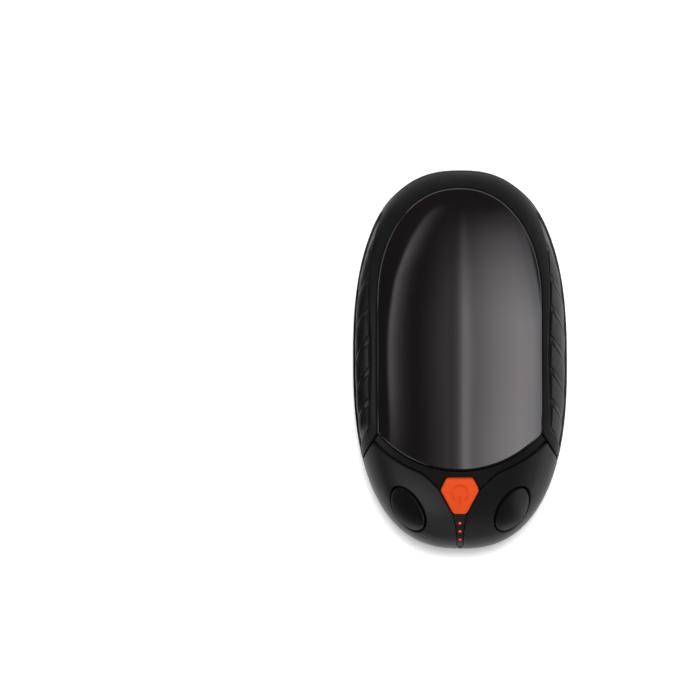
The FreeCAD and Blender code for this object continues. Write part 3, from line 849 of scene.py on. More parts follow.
def linear(code: str) -> Colour:
    """Six-digit screen colour as linear light, opaque."""
    parts = [int(code[place:place + 2], 16) / 255 for place in (0, 2, 4)]
    light = [part / 12.92 if part <= 0.04045 else ((part + 0.055) / 1.055) ** 2.4 for part in parts]
    return (*light, 1.0)


class Bench:
    """Lays out the nodes of one tree."""

    def __init__(self, tree: NodeTree) -> None:
        """Takes the tree to work on."""
        self.tree = tree

    def node(self, kind: str, **settings: object) -> Node:
        """Adds a node.

        Args:
            kind: Node type.
            settings: Values of its properties.

        Returns:
            The node.
        """
        made = self.tree.nodes.new(kind)
        for name, value in settings.items():
            setattr(made, name, value)
        return made

    def feed(self, socket: NodeSocket, value: object) -> None:
        """Links a socket to another one, or sets its value.

        Args:
            socket: Input to feed.
            value: Output to link it to, or the value.
        """
        if isinstance(value, NodeSocket):
            self.tree.links.new(value, socket)
        else:
            socket.default_value = value

    def fed(self, node: Node, **values: object) -> Node:
        """Feeds a node's inputs, with underscores for spaces in their names, and returns the node."""
        for name, value in values.items():
            self.feed(node.inputs[name.replace("_", " ")], value)
        return node

    def noise(self, **values: object) -> NodeSocket:
        """Adds a noise texture with the given inputs and returns its value."""
        return self.fed(self.node("ShaderNodeTexNoise"), **values).outputs["Fac"]

    def maths(self, operation: str, *values: object) -> NodeSocket:
        """Adds a sum or other operation.

        Args:
            operation: Name of the operation.
            values: What it works on, as sockets or numbers.

        Returns:
            The result.
        """
        made = self.node("ShaderNodeMath", operation=operation)
        for socket, value in zip(made.inputs, values):
            self.feed(socket, value)
        return made.outputs[0]

    def remap(self, value: object, source: Span, target: Span, smooth: bool = False) -> NodeSocket:
        """Maps a value from one range to another.

        Args:
            value: Socket or number.
            source: Range that the value comes in.
            target: Range that it goes to.
            smooth: Whether the ends are eased.

        Returns:
            The mapped value.
        """
        made = self.node("ShaderNodeMapRange", interpolation_type="SMOOTHSTEP" if smooth else "LINEAR")
        names = ("Value", "From Min", "From Max", "To Min", "To Max")
        for name, entry in zip(names, (value, *source, *target)):
            self.feed(made.inputs[name], entry)
        return made.outputs["Result"]

    def blend(self, share: object, one: object, two: object) -> NodeSocket:
        """Mixes two colours.

        Args:
            share: Share of the second colour.
            one: First colour.
            two: Second colour.

        Returns:
            The mixed colour.
        """
        made = self.node("ShaderNodeMix", data_type="RGBA")
        for number, value in ((0, share), (6, one), (7, two)):
            self.feed(made.inputs[number], value)
        return made.outputs[2]

    def group(self, tree: NodeTree, **values: object) -> Sequence[NodeSocket]:
        """Places a shared group, feeds its inputs and returns its outputs."""
        return self.fed(self.node("ShaderNodeGroup", node_tree=tree), **values).outputs

    def graded(self, place: NodeSocket, span: Span, stops: Stops) -> NodeSocket:
        """Value that changes along one direction.

        Args:
            place: Place along it.
            span: Both of its ends.
            stops: Places and values in order.

        Returns:
            The value at the place.
        """
        ramp = self.node("ShaderNodeValToRGB")
        ramp.color_ramp.interpolation = "LINEAR"
        parts = ramp.color_ramp.elements
        while len(parts) < len(stops):
            parts.new(1.0)
        for part, (spot, value) in zip(parts, stops):
            part.position = (spot - span[0]) / (span[1] - span[0])
            part.color = (value, value, value, 1.0)
        self.feed(ramp.inputs["Fac"], self.remap(place, span, (0.0, 1.0)))
        return ramp.outputs["Color"]


class GroupBench(Bench):
    """Lays out the nodes of a new group with named sockets."""

    def __init__(self, name: str, kind: str, inputs: dict[str, str], outputs: dict[str, str]) -> None:
        """Starts the group.

        Args:
            name: Name of the group.
            kind: Type of its tree.
            inputs: Socket type of each input.
            outputs: Socket type of each output.
        """
        super().__init__(bpy.data.node_groups.new(name, kind))
        for way, sockets in (("INPUT", inputs), ("OUTPUT", outputs)):
            for label, socket in sockets.items():
                self.tree.interface.new_socket(name=label, in_out=way, socket_type=socket)
        self.entry = self.node("NodeGroupInput").outputs
        self.leaving = self.node("NodeGroupOutput")

    def put_out(self, **values: NodeSocket) -> NodeTree:
        """Feeds the group's outputs and returns its tree."""
        self.fed(self.leaving, **values)
        return self.tree


class Effects:
    """Shader groups that several finishes share."""

    def __init__(self) -> None:
        """Builds each group once."""
        self.grain = self._grain()
        self.handling = self._handling()
        self.wear = self._wear()

    @staticmethod
    def _start(name: str, setting: str, *outputs: str) -> GroupBench:
        """Starts a group that takes a place and one setting and puts out the named values."""
        inputs = {"Place": "NodeSocketVector", setting: "NodeSocketFloat"}
        return GroupBench(name, "ShaderNodeTree", inputs, dict.fromkeys(outputs, "NodeSocketFloat"))

    def _grain(self) -> NodeTree:
        """Fine moulded texture and a broad change of tone."""
        bench = self._start("Moulded Grain", "Fineness", "Height", "Tone")
        place, fineness = bench.entry["Place"], bench.entry["Fineness"]
        fine = bench.noise(Vector=place, Scale=fineness, Detail=2.0)
        cells = bench.node("ShaderNodeTexVoronoi", feature="SMOOTH_F1")
        bench.fed(cells, Vector=place, Scale=bench.maths("MULTIPLY", fineness, 0.55))
        height = bench.maths("MULTIPLY_ADD", cells.outputs["Distance"], 0.5, fine)
        broad = bench.noise(Vector=place, Scale=bench.maths("MULTIPLY", fineness, 0.03), Detail=5.0)
        return bench.put_out(Height=height, Tone=bench.remap(broad, (0.3, 0.7), (0.0, 1.0)))

    def _handling(self) -> NodeTree:
        """Faint marks of use: broad smears and thin streaks."""
        bench = self._start("Handling Marks", "Patches", "Smear", "Streak")
        place, patches = bench.entry["Place"], bench.entry["Patches"]
        smears = bench.noise(Vector=place, Scale=patches, Detail=4.0, Distortion=0.6)
        turned = bench.node("ShaderNodeMapping")
        bench.fed(turned, Vector=place, Rotation=(0.0, 0.0, 0.5), Scale=(30.0, 1.2, 30.0))
        streaks = bench.noise(Vector=turned.outputs["Vector"], Scale=patches, Detail=3.0)
        smear = bench.remap(smears, (0.32, 0.68), (0.0, 1.0))
        return bench.put_out(Smear=smear, Streak=bench.remap(streaks, (0.55, 0.75), (0.0, 1.0)))

    def _wear(self) -> NodeTree:
        """Broken polish along rolled rims."""
        bench = self._start("Rim Wear", "Rim", "Mask")
        patches = bench.noise(Vector=bench.entry["Place"], Scale=420.0, Detail=5.0)
        broken = bench.remap(patches, (0.38, 0.66), (0.15, 1.0), smooth=True)
        return bench.put_out(Mask=bench.maths("MULTIPLY", broken, bench.entry["Rim"]))


class NodePaint:
    """A new material with its bench, its surface socket and Object coordinates at hand."""

    def __init__(self, name: str) -> None:
        """Starts the material.

        Args:
            name: Name of the material.
        """
        self.material = bpy.data.materials.new(name)
        self.material.use_nodes = True
        self.material.node_tree.nodes.clear()
        self.bench = Bench(self.material.node_tree)
        self.surface = self.bench.node("ShaderNodeOutputMaterial").inputs["Surface"]
        self.place = self.bench.node("ShaderNodeTexCoord").outputs["Object"]

    def axis(self, letter: str) -> NodeSocket:
        """One of the Object coordinates."""
        return self.bench.fed(self.bench.node("ShaderNodeSeparateXYZ"), Vector=self.place).outputs[letter]

    def matt(self, shade: float) -> NodeSocket:
        """Adds a matt grey shader and returns it."""
        made = self.bench.node("ShaderNodeBsdfDiffuse")
        return self.bench.fed(made, Color=(shade, shade, shade, 1.0)).outputs[0]

    def glow(self, strength: NodeSocket, colour: NodeSocket | Colour = WHITE) -> NodeSocket:
        """Adds a glowing shader and returns it."""
        made = self.bench.node("ShaderNodeEmission")
        return self.bench.fed(made, Color=colour, Strength=strength).outputs[0]


class Paintwork(NodePaint):
    """A material of the object, with its main shader and the shared effects at hand."""

    def __init__(self, name: str, effects: Effects) -> None:
        """Starts the material.

        Args:
            name: Name of the material.
            effects: Shared shader groups.
        """
        super().__init__(name)
        self.effects = effects
        self.shader = self.bench.node("ShaderNodeBsdfPrincipled")
        self.bench.feed(self.surface, self.shader.outputs["BSDF"])

    def set(self, **values: object) -> None:
        """Sets or links the main shader's inputs, with underscores for spaces in their names."""
        self.bench.fed(self.shader, **values)

    def grain(self, fineness: float) -> Sequence[NodeSocket]:
        """Places the moulded grain and returns its height and its tone."""
        return self.bench.group(self.effects.grain, Place=self.place, Fineness=fineness)

    def handling(self, patches: float) -> Sequence[NodeSocket]:
        """Places the handling marks and returns the smears and the streaks."""
        return self.bench.group(self.effects.handling, Place=self.place, Patches=patches)

    def rim(self) -> NodeSocket:
        """How much a point belongs to a rim."""
        return self.bench.node("ShaderNodeAttribute", attribute_name="rim").outputs["Fac"]

    def worn_rim(self) -> NodeSocket:
        """Mask of the worn rims."""
        return self.bench.group(self.effects.wear, Place=self.place, Rim=self.rim())["Mask"]

    def bump(self, height: NodeSocket, strength: float, distance: float) -> None:
        """Feeds a height into the main shader's normal."""
        made = self.bench.node("ShaderNodeBump")
        self.bench.fed(made, Strength=strength, Distance=distance, Height=height)
        self.set(Normal=made.outputs["Normal"])


@dataclass(frozen=True)
class Finish:
    """A finish of the object's pieces, by the name of its material."""

    name: str

    def coat(self, paint: Paintwork) -> None:
        """Lays the finish's nodes."""
        raise NotImplementedError

    def material(self, effects: Effects) -> Material:
        """Builds the node material from the shared effects."""
        paint = Paintwork(self.name, effects)
        self.coat(paint)
        return paint.material


@dataclass(frozen=True)
class MouldedFinish(Finish):
    """Moulded plastic, rubber, foam or film with grain, handling marks, worn rims and, where set, painted
    shade that darkens rims and pressed marks.
    """

    colour: str
    pale: str
    roughness: float
    spread: float = 0.08
    fineness: float = 2600.0
    bump: float = 0.2
    wear: float = 0.25
    specular: float = 0.5
    rim_shade: float = 0.0
    rim_shade_colour: str = "000000"
    patches: float = 45.0
    tone_share: float = 0.6
    dust: float = 0.06
    polish: float = 0.12
    relief: float = 0.00006

    def coat(self, paint: Paintwork) -> None:
        """Lays a toned colour, painted shade on rims where set, a smeared gloss and the grain's bump.

        Args:
            paint: Material to lay them in.
        """
        bench = paint.bench
        height, tone = paint.grain(self.fineness)
        smear, streak = paint.handling(self.patches)
        worn = bench.maths("MULTIPLY", paint.worn_rim(), self.wear)
        toned = bench.maths("MULTIPLY_ADD", tone, self.tone_share, worn)
        dusty = bench.maths("MULTIPLY_ADD", streak, self.dust, toned)
        colour = bench.blend(dusty, linear(self.colour), linear(self.pale))
        # Painted shade: rims and the floors of pressed marks are darkened towards a darker colour.
        if self.rim_shade > 0.0:
            share = bench.maths("MULTIPLY", paint.rim(), self.rim_shade)
            colour = bench.blend(share, colour, linear(self.rim_shade_colour))
        bounds = (self.roughness - self.spread, self.roughness + self.spread)
        smeared = bench.remap(smear, (0.0, 1.0), bounds)
        roughness = bench.maths("MULTIPLY_ADD", worn, -self.polish, smeared)
        paint.set(Base_Color=colour, Specular_IOR_Level=self.specular, Roughness=roughness)
        paint.bump(height, self.bump, self.relief)


@dataclass(frozen=True)
class MetalFinish(Finish):
    """Plated or brushed metal."""

    colour: str
    dull: str
    roughness: float
    fineness: float = 3500.0
    patches: float = 160.0
    tarnish: float = 0.5
    spread: float = 0.15
    bump: float = 0.12
    relief: float = 0.00003

    def coat(self, paint: Paintwork) -> None:
        """Lays a tarnished colour with streaks.

        Args:
            paint: Material to lay them in.
        """
        bench = paint.bench
        _, tone = paint.grain(self.fineness)
        _, streak = paint.handling(self.patches)
        tarnish = bench.maths("MULTIPLY", tone, self.tarnish)
        colour = bench.blend(tarnish, linear(self.colour), linear(self.dull))
        roughness = bench.maths("MULTIPLY_ADD", streak, self.spread, self.roughness)
        paint.set(Base_Color=colour, Metallic=1.0, Roughness=roughness)
        paint.bump(streak, self.bump, self.relief)


@dataclass(frozen=True)
class PrintedFinish(Finish):
    """Board or film with a printed pattern of copper."""

    ground: str
    copper: str
    pitch: float
    roughness: float
    metal: float
    track: float = 0.035
    blur: float = 0.15
    fineness: float = 1800.0
    shade: float = 0.35
    spread: float = 0.15
    bump: float = 0.3
    relief: float = 0.00005

    def coat(self, paint: Paintwork) -> None:
        """Lays raised tracks on a toned ground.

        Args:
            paint: Material to lay them in.
        """
        bench = paint.bench
        brick = bench.node("ShaderNodeTexBrick", offset=0.5)
        bench.fed(brick, Vector=paint.place, Scale=self.pitch)
        bench.fed(brick, Mortar_Size=self.track, Mortar_Smooth=self.blur)
        tracks = brick.outputs["Fac"]
        _, tone = paint.grain(self.fineness)
        toned = bench.blend(bench.maths("MULTIPLY", tone, self.shade), linear(self.ground), BLACK)
        paint.set(Base_Color=bench.blend(tracks, toned, linear(self.copper)))
        paint.set(Metallic=bench.maths("MULTIPLY", tracks, self.metal))
        paint.set(Roughness=bench.maths("MULTIPLY_ADD", tone, self.spread, self.roughness))
        paint.bump(tracks, self.bump, self.relief)


@dataclass(frozen=True)
class WireFinish(Finish):
    """Insulation of the wire pairs, one colour on each side."""

    right: str
    left: str
    roughness: float = 0.4
    fineness: float = 2200.0
    shade: float = 0.2
    spread: float = 0.15
    bump: float = 0.1
    relief: float = 0.00004

    def coat(self, paint: Paintwork) -> None:
        """Lays one toned colour on each side of the case's middle.

        Args:
            paint: Material to lay them in.
        """
        bench = paint.bench
        side = bench.maths("GREATER_THAN", paint.axis("X"), 0.0)
        height, tone = paint.grain(self.fineness)
        pair = bench.blend(side, linear(self.left), linear(self.right))
        paint.set(Base_Color=bench.blend(bench.maths("MULTIPLY", tone, self.shade), pair, BLACK))
        paint.set(Roughness=bench.maths("MULTIPLY_ADD", tone, self.spread, self.roughness))
        paint.bump(height, self.bump, self.relief)


@dataclass(frozen=True)
class LampFinish(Finish):
    """Light window, lit or dark, with a hot middle and a cooler rim."""

    colour: str
    glow: str
    halo: str
    strength: float
    middle: Span = (0.1, 0.42)
    specular: float = 0.15
    roughness: float = 0.35
    fineness: float = 4000.0
    shade: float = 0.3
    spread: float = 0.1
    bump: float = 0.08
    relief: float = 0.00003

    def coat(self, paint: Paintwork) -> None:
        """Lays a tinted body with a glow that fades towards the rim.

        Args:
            paint: Material to lay them in.
        """
        bench = paint.bench
        height, tone = paint.grain(self.fineness)
        fade = bench.remap(paint.rim(), self.middle, (0.0, 1.0), smooth=True)
        tinted = bench.blend(bench.maths("MULTIPLY", tone, self.shade), linear(self.colour), BLACK)
        paint.set(Base_Color=tinted, Specular_IOR_Level=self.specular)
        paint.set(Roughness=bench.maths("MULTIPLY_ADD", tone, self.spread, self.roughness))
        paint.set(Emission_Color=bench.blend(fade, linear(self.glow), linear(self.halo)))
        paint.set(Emission_Strength=self.strength)
        paint.bump(height, self.bump, self.relief)


class Finishes:
    """Every material of the object, by the record's slot."""

    def __init__(self) -> None:
        """Builds the materials."""
        effects = Effects()
        moulded = MouldedFinish
        slots = {
            "shell": moulded("satin_black_shell", "171718", "1e1e1f", 0.4, 0.05, 2600.0, 0.2, 0.4, 0.13),
            "warm_panel": moulded(
                "gloss_black_panel", "171415", "1c1819", 0.08, 0.012, 900.0, 0.008, 0.6, 0.6
            ),
            "accent": moulded("satin_black_accent", "131314", "1a1a1b", 0.36, 0.04, 3000.0, 0.1, 0.4, 0.75),
            "grip": moulded("black_grip_rubber", "161617", "1f1f20", 0.44, 0.06, 1900.0, 0.35, 0.5, 0.5),
            # The button's last two values are painted shade: its rolled rims and the pressed power mark
            # darken towards b93a18.
            "button": moulded(
                "orange_button", "f05226", "f4602f", 0.45, 0.04, 2600.0, 0.12, 0.1, 0.2, 0.4, "b93a18"
            ),
            "light_window": moulded(
                "dark_light_window", "242223", "2d2a2b", 0.4, 0.03, 2600.0, 0.05, 0.2, 0.3
            ),
            "light_clear": LampFinish("lit_charge_light", "5a1711", "ee5a44", "2a0806", 0.95),
            "tray": moulded("grey_tray", "5b5d60", "77797c", 0.5),
            "pouch": moulded("silver_pouch", "9fa3a8", "c8ccd0", 0.34, 0.08, 320.0, 0.7),
            "foam": moulded("white_foam", "c9c8c2", "e2e1dc", 0.9, 0.04, 900.0, 0.9),
            "chip": moulded("black_package", "151516", "2a2a2c", 0.55),
            "socket": moulded("ivory_socket", "d8d3c4", "ece8dc", 0.45),
            "flex": moulded("amber_flex", "b06a1c", "d08a34", 0.4, 0.05, 1500.0),
            "lamp": moulded("white_lamp", "e6e4da", "f6f4ea", 0.35),
            "steel": MetalFinish("plated_steel", "b9bbbe", "8d8f93", 0.24),
            "magnet": MetalFinish("nickel_magnet", "a9a8a3", "85847f", 0.2),
            "board": PrintedFinish("green_board", "0f5a33", "2c8a55", 160.0, 0.4, 0.2),
            "heater": PrintedFinish("heater_film", "a8611c", "d69a58", 110.0, 0.35, 0.7),
            "wire": WireFinish("wire_pair", "c1272d", "1b1b1c"),
        }
        self.by_slot = {slot: finish.material(effects) for slot, finish in slots.items()}
        back = moulded("matt_black_back", "161617", "212122", 0.5, 0.06, 2200.0, 0.3, 0.5, 0.3)
        cheek = moulded("satin_black_cheek", "171718", "1f1f20", 0.38, 0.05, 2600.0, 0.2, 0.4, 0.42)
        # The unlit pin keeps a faint emission at strength 0.1, a painted glow.
        dark = LampFinish("dark_charge_light", "120c0d", "1a1011", "0c0808", 0.1)
        self.back = back.material(effects)
        self.cheek = cheek.material(effects)
        self.dark_light = dark.material(effects)


def show(mesh: Mesh, material: Material, body: Body, slot: str, *nodes: str) -> None:
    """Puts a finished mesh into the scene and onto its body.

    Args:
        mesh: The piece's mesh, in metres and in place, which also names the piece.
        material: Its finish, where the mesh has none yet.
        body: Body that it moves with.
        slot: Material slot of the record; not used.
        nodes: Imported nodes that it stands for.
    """
    piece = bpy.data.objects.new(mesh.name, mesh)
    bpy.context.scene.collection.objects.link(piece)
    if not mesh.materials:
        mesh.materials.append(material)
    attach(piece, body.value)
    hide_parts(*nodes)
    LOG.info("%s: %d faces on %s", mesh.name, len(mesh.polygons), body.value)


def crossing(one: Array, two: Array, three: Array, four: Array) -> Array:
    """Flat place where two lines meet.

    Args:
        one: Place on the first line.
        two: Another place on it.
        three: Place on the second line.
        four: Another place on it.

    Returns:
        The place.
    """
    along, other, offset = two - one, four - three, three - one
    across = along[0] * other[1] - along[1] * other[0]
    return one + along * ((offset[0] * other[1] - offset[1] * other[0]) / across)


class Recipe(GroupBench):
    """Geometry Nodes tree with named inputs, and the plain meshes that are baked from it."""

    def __init__(self, name: str, inputs: dict[str, str]) -> None:
        """Starts the tree, given the socket type of each named input."""
        shape = {"Geometry": "NodeSocketGeometry"}
        super().__init__(name, "GeometryNodeTree", {**shape, **inputs}, shape)

    def attribute(self, name: str, kind: str = "FLOAT") -> NodeSocket:
        """Reads a named attribute."""
        made = self.node("GeometryNodeInputNamedAttribute", data_type=kind)
        return self.fed(made, Name=name).outputs["Attribute"]

    def step(self, kind: str, geometry: NodeSocket, **values: object) -> NodeSocket:
        """Adds a node that changes the geometry.

        Args:
            kind: Node type.
            geometry: What it works on.
            values: Its other inputs, with underscores for spaces in their names.

        Returns:
            The changed geometry.
        """
        made = self.node(kind)
        self.feed(made.inputs[0], geometry)
        return self.fed(made, **values).outputs[0]

    def bake(self, mesh: Mesh, values: dict[str, object], name: str) -> Mesh:
        """Runs the tree on a mesh.

        Args:
            mesh: What goes in.
            values: Value of each named input.
            name: Name of what comes out.

        Returns:
            The result as a plain mesh.
        """
        holder = bpy.data.objects.new("recipe_holder", mesh)
        bpy.context.scene.collection.objects.link(holder)
        modifier = holder.modifiers.new("recipe", "NODES")
        modifier.node_group = self.tree
        for item in self.tree.interface.items_tree:
            if item.in_out == "INPUT" and item.name in values:
                modifier[item.identifier] = values[item.name]
        graph = bpy.context.evaluated_depsgraph_get()
        shaped = holder.evaluated_get(graph)
        baked = bpy.data.meshes.new_from_object(shaped, preserve_all_data_layers=True, depsgraph=graph)
        holder.modifiers.remove(modifier)
        bpy.data.objects.remove(holder)
        baked.name = name
        return baked


@dataclass(frozen=True)
class HeatPanel:
    """Domed warm panel, a little proud of the frame round it. Millimetres."""

    layout: Layout
    proud: float = 0.3
    flank_relief: float = 0.4
    bevel: float = 0.34
    bevel_slope: float = 22.0
    bevel_ease: float = 0.05
    roll: float = 0.25
    wall: float = 1.65
    corner: float = 0.9
    spacing: float = 0.8

    def lift(self, points: Array) -> Array:
        """Height of the face over the pebble, with the flanks drawn in a little.

        Args:
            points: Places on the skin.

        Returns:
            One height for each place.
        """
        width = np.maximum(self.layout.panel_width(points[:, 1]), 0.1)
        across = np.clip(np.abs(points[:, 0]) / width, 0.0, 1.0)
        draw = self.flank_relief * (width / self.layout.panel_half_width) ** 2
        return self.proud - draw * 4 * across ** 2 * (1 - across ** 2)

    def _edge(self) -> tuple[Ring, ...]:
        """Profile of the rim: a flat bevel, a small roll and a straight wall."""
        lean = 90.0 - self.bevel_slope
        slope = math.radians(self.bevel_slope)
        inner = self.roll * (1 - math.sin(slope))
        drop = self.bevel * math.tan(slope)
        outer = inner + self.bevel
        rings = [Ring(outer + self.bevel_ease, 0.0, 90.0), Ring(outer, self.bevel_ease * slope / 2, lean)]
        for angle in np.linspace(lean, 0.0, 4):
            turn = math.radians(angle)
            depth = drop + self.roll * (math.cos(slope) - math.sin(turn))
            rings.append(Ring(self.roll * (1 - math.cos(turn)), depth, float(angle)))
        rings.append(Ring(0.0, self.wall, 0.0))
        return tuple(rings)

    def build(self) -> Mesh:
        """Makes the panel's mesh."""
        layout = self.layout
        outline = SkinLoop(layout.panel_loop(0.0, self.corner), self._edge())
        return SkinShell(layout.skin, outline, lift=self.lift, spacing=self.spacing).mesh("warm_panel_skin")

    def dress(self, finishes: Finishes) -> None:
        """Shows the panel in place of its solid."""
        show(self.build(), finishes.by_slot["warm_panel"], Body.CASE, "warm_panel", "heat_panel")


@dataclass(frozen=True)
class GripShape:
    """Outline of a side grip in the side view, as places along Y and Z. Millimetres."""

    head_front: tuple[float, float] = (-18.4, 12.7)
    head_back: tuple[float, float] = (-24.1, 4.0)
    tail_back: tuple[float, float] = (32.9, 3.5)
    tail_front: tuple[float, float] = (38.1, 7.5)
    crest: float = 13.75
    corner: float = 1.3
    step: float = 0.28
    first_rib: float = -12.5
    rib_pitch: float = 8.07
    rib_count: int = 6
    rib_width: float = 2.0

    def front_arc(self, count: int = 121) -> Array:
        """Front edge from head to tail, a circle through its ends and its crest.

        Args:
            count: How many places it has.

        Returns:
            Places in the side view.
        """
        one, three = np.array(self.head_front), np.array(self.tail_front)
        two = np.array(((one[0] + three[0]) / 2, self.crest))
        rows = np.array((two - one, three - one))
        centre = np.linalg.solve(rows, (rows * (rows / 2 + one)).sum(axis=1))
        radius = float(np.linalg.norm(one - centre))
        start = math.atan2(one[1] - centre[1], one[0] - centre[0])
        end = math.atan2(three[1] - centre[1], three[0] - centre[0])
        turn = np.linspace(start, end, count)
        return centre + radius * np.column_stack((np.cos(turn), np.sin(turn)))

    def outline(self, grow: float) -> Array:
        """Closed outline in the side view.

        Args:
            grow: Distance that it is moved outwards.

        Returns:
            Places in the side view.
        """
        head_back, tail_back = np.array(self.head_back), np.array(self.tail_back)
        arc = self.front_arc()[::-1]
        flat = (arc[-1], head_back), (head_back, tail_back), (tail_back, arc[0])
        runs = [arc, *(np.array(pair) for pair in flat)]
        places = rounded_loop(runs, [self.corner] * 4, self.step)
        ahead = unit(np.roll(places, -1, axis=0) - np.roll(places, 1, axis=0))
        return places + grow * np.column_stack((ahead[:, 1], -ahead[:, 0]))


@dataclass(frozen=True)
class FrontFrame:
    """Front shell: a band with the grips' recesses, a ledge, the bridge and the chin. Millimetres."""

    layout: Layout
    grip: GripShape
    gap: float = 0.32
    roll: float = 0.3
    wall: float = 2.7
    recess_rim: float = 0.9
    bridge_recess: float = 0.45
    bridge_groove: float = 0.42
    chin_half_width: float = 0.76
    chin_gap: float = 0.05
    chin_top_gap: float = 0.04
    chin_sink: float = 0.03
    ledge_grows: Span = (1.0, -2.0)
    ledge_depth: float = 1.5
    ledge_corner: float = 0.8
    ledge_step: float = 0.6
    band_corners: tuple[float, ...] = (0.4, 0.4, 0.5, 0.5)
    bridge_corners: tuple[float, ...] = (0.25, 0.25, 1.8, 0.35, 0.5, 0.5, 0.35, 1.8, 0.25, 0.25)
    bridge_seam_gap: float = 0.1
    bridge_roll: float = 0.22
    chin_corner: float = 0.15
    chin_roll: float = 0.1
    chin_wall: float = 1.4

    def _band(self) -> SkinShell:
        """Makes the band from cheek to cheek round the tail."""
        layout = self.layout
        seam = layout.seam_run(layout.panel_corner(self.gap))
        turn = layout.turn_of(seam[-1])
        tail = layout.back_run(layout.cover_rise, np.linspace(turn, math.pi - turn, 400))
        rim = layout.skin.above(layout.panel_crown_run(self.gap)[::-1])
        loop = layout.loop([seam, tail, (seam * FLIP)[::-1], rim], self.band_corners)
        bevel = (
            Ring(0.32, 0.0, 90.0), Ring(0.14, 0.03, 76.0, 0.8), Ring(0.0, 0.12, 58.0, 1.0),
            Ring(-0.72, 0.72, 50.0), Ring(-0.84, 0.84, 25.0), Ring(-0.88, 0.95, 5.0),
            Ring(-0.9, self.wall, 0.0),
        )
        recess = layout.skin.onto(layout.skin.beside(self.grip.outline(self.recess_rim)))
        holes = [SkinLoop(recess, bevel), SkinLoop(recess * FLIP, bevel)]
        outline = SkinLoop(loop, rolled_edge(self.roll, self.wall))
        return SkinShell(layout.skin, outline, holes, spacing=0.7)

    def _ledge(self) -> SkinShell:
        """Makes the step that the panel is bonded to."""
        layout = self.layout
        edge = rolled_edge(0.15, 1.2, 2)
        loops = (layout.panel_loop(grow, self.ledge_corner, self.ledge_step) for grow in self.ledge_grows)
        outer, inner = (SkinLoop(loop, edge) for loop in loops)
        return SkinShell(layout.skin, outer, [inner], lift=-self.ledge_depth, spacing=1.2)

    def _bridge(self) -> SkinShell:
        """Makes the sunken band between panel and cheeks, with the button's upper seat."""
        layout = self.layout
        inner = layout.panel_head_radius + self.bridge_groove
        outer = layout.panel_head_radius + layout.bridge_width
        near = layout.seam_meets_arc(self.bridge_seam_gap, inner)
        far = layout.seam_meets_arc(self.bridge_seam_gap, outer)
        neck = layout.arc_run(outer, layout.bridge_neck, far[0])
        button = layout.button_corners(self.gap)
        wide = np.array((layout.button_half_width, layout.button_along))
        tip = crossing(neck[0], wide, button[0], button[5])
        right = [np.array((button[0], tip)), np.array((tip, neck[0])), neck, np.array((far, near))]
        left = [(run * (-1, 1))[::-1] for run in right[::-1]]
        top = layout.arc_run(inner, near[0], -near[0])
        runs = [top, *left, np.array((button[1], button[0])), *right]
        rows = [layout.skin.above(walk(run, FINE_STEP)) for run in runs]
        loop = layout.loop(rows, self.bridge_corners, 0.2)
        edge = rolled_edge(self.bridge_roll, self.wall - self.bridge_recess)
        return SkinShell(layout.skin, SkinLoop(loop, edge), lift=-self.bridge_recess, spacing=0.6)

    def _chin(self) -> list[SkinShell]:
        """Makes the narrow parts between the cheeks above and under the charging socket."""
        layout = self.layout
        half = self.chin_half_width
        seam = layout.cover_rise - layout.back.height
        edge = rolled_edge(self.chin_roll, self.chin_wall, 3)
        shells = []
        upper = (layout.socket_top + self.chin_gap, layout.strip_bottom - self.chin_top_gap)
        for low, high in (upper, (seam, layout.socket_bottom - self.chin_gap)):
            corners = ((half, low), (half, high), (-half, high), (-half, low))
            sides = [layout.skin.ahead(side) for side in straight_runs(corners, closed=True)]
            outline = SkinLoop(layout.loop(sides, [self.chin_corner] * 4, 0.1), edge)
            shells.append(SkinShell(layout.skin, outline, lift=-self.chin_sink, spacing=0.4))
        return shells

    def build(self) -> Mesh:
        """Makes the shell's mesh."""
        maker = MeshMaker()
        for shell in (self._band(), self._ledge(), self._bridge(), *self._chin()):
            shell.add_to(maker)
        return maker.mesh("front_frame_skin")

    def dress(self, finishes: Finishes) -> None:
        """Shows the shell in place of its solid."""
        show(self.build(), finishes.by_slot["shell"], Body.CASE, "shell", "front_frame")


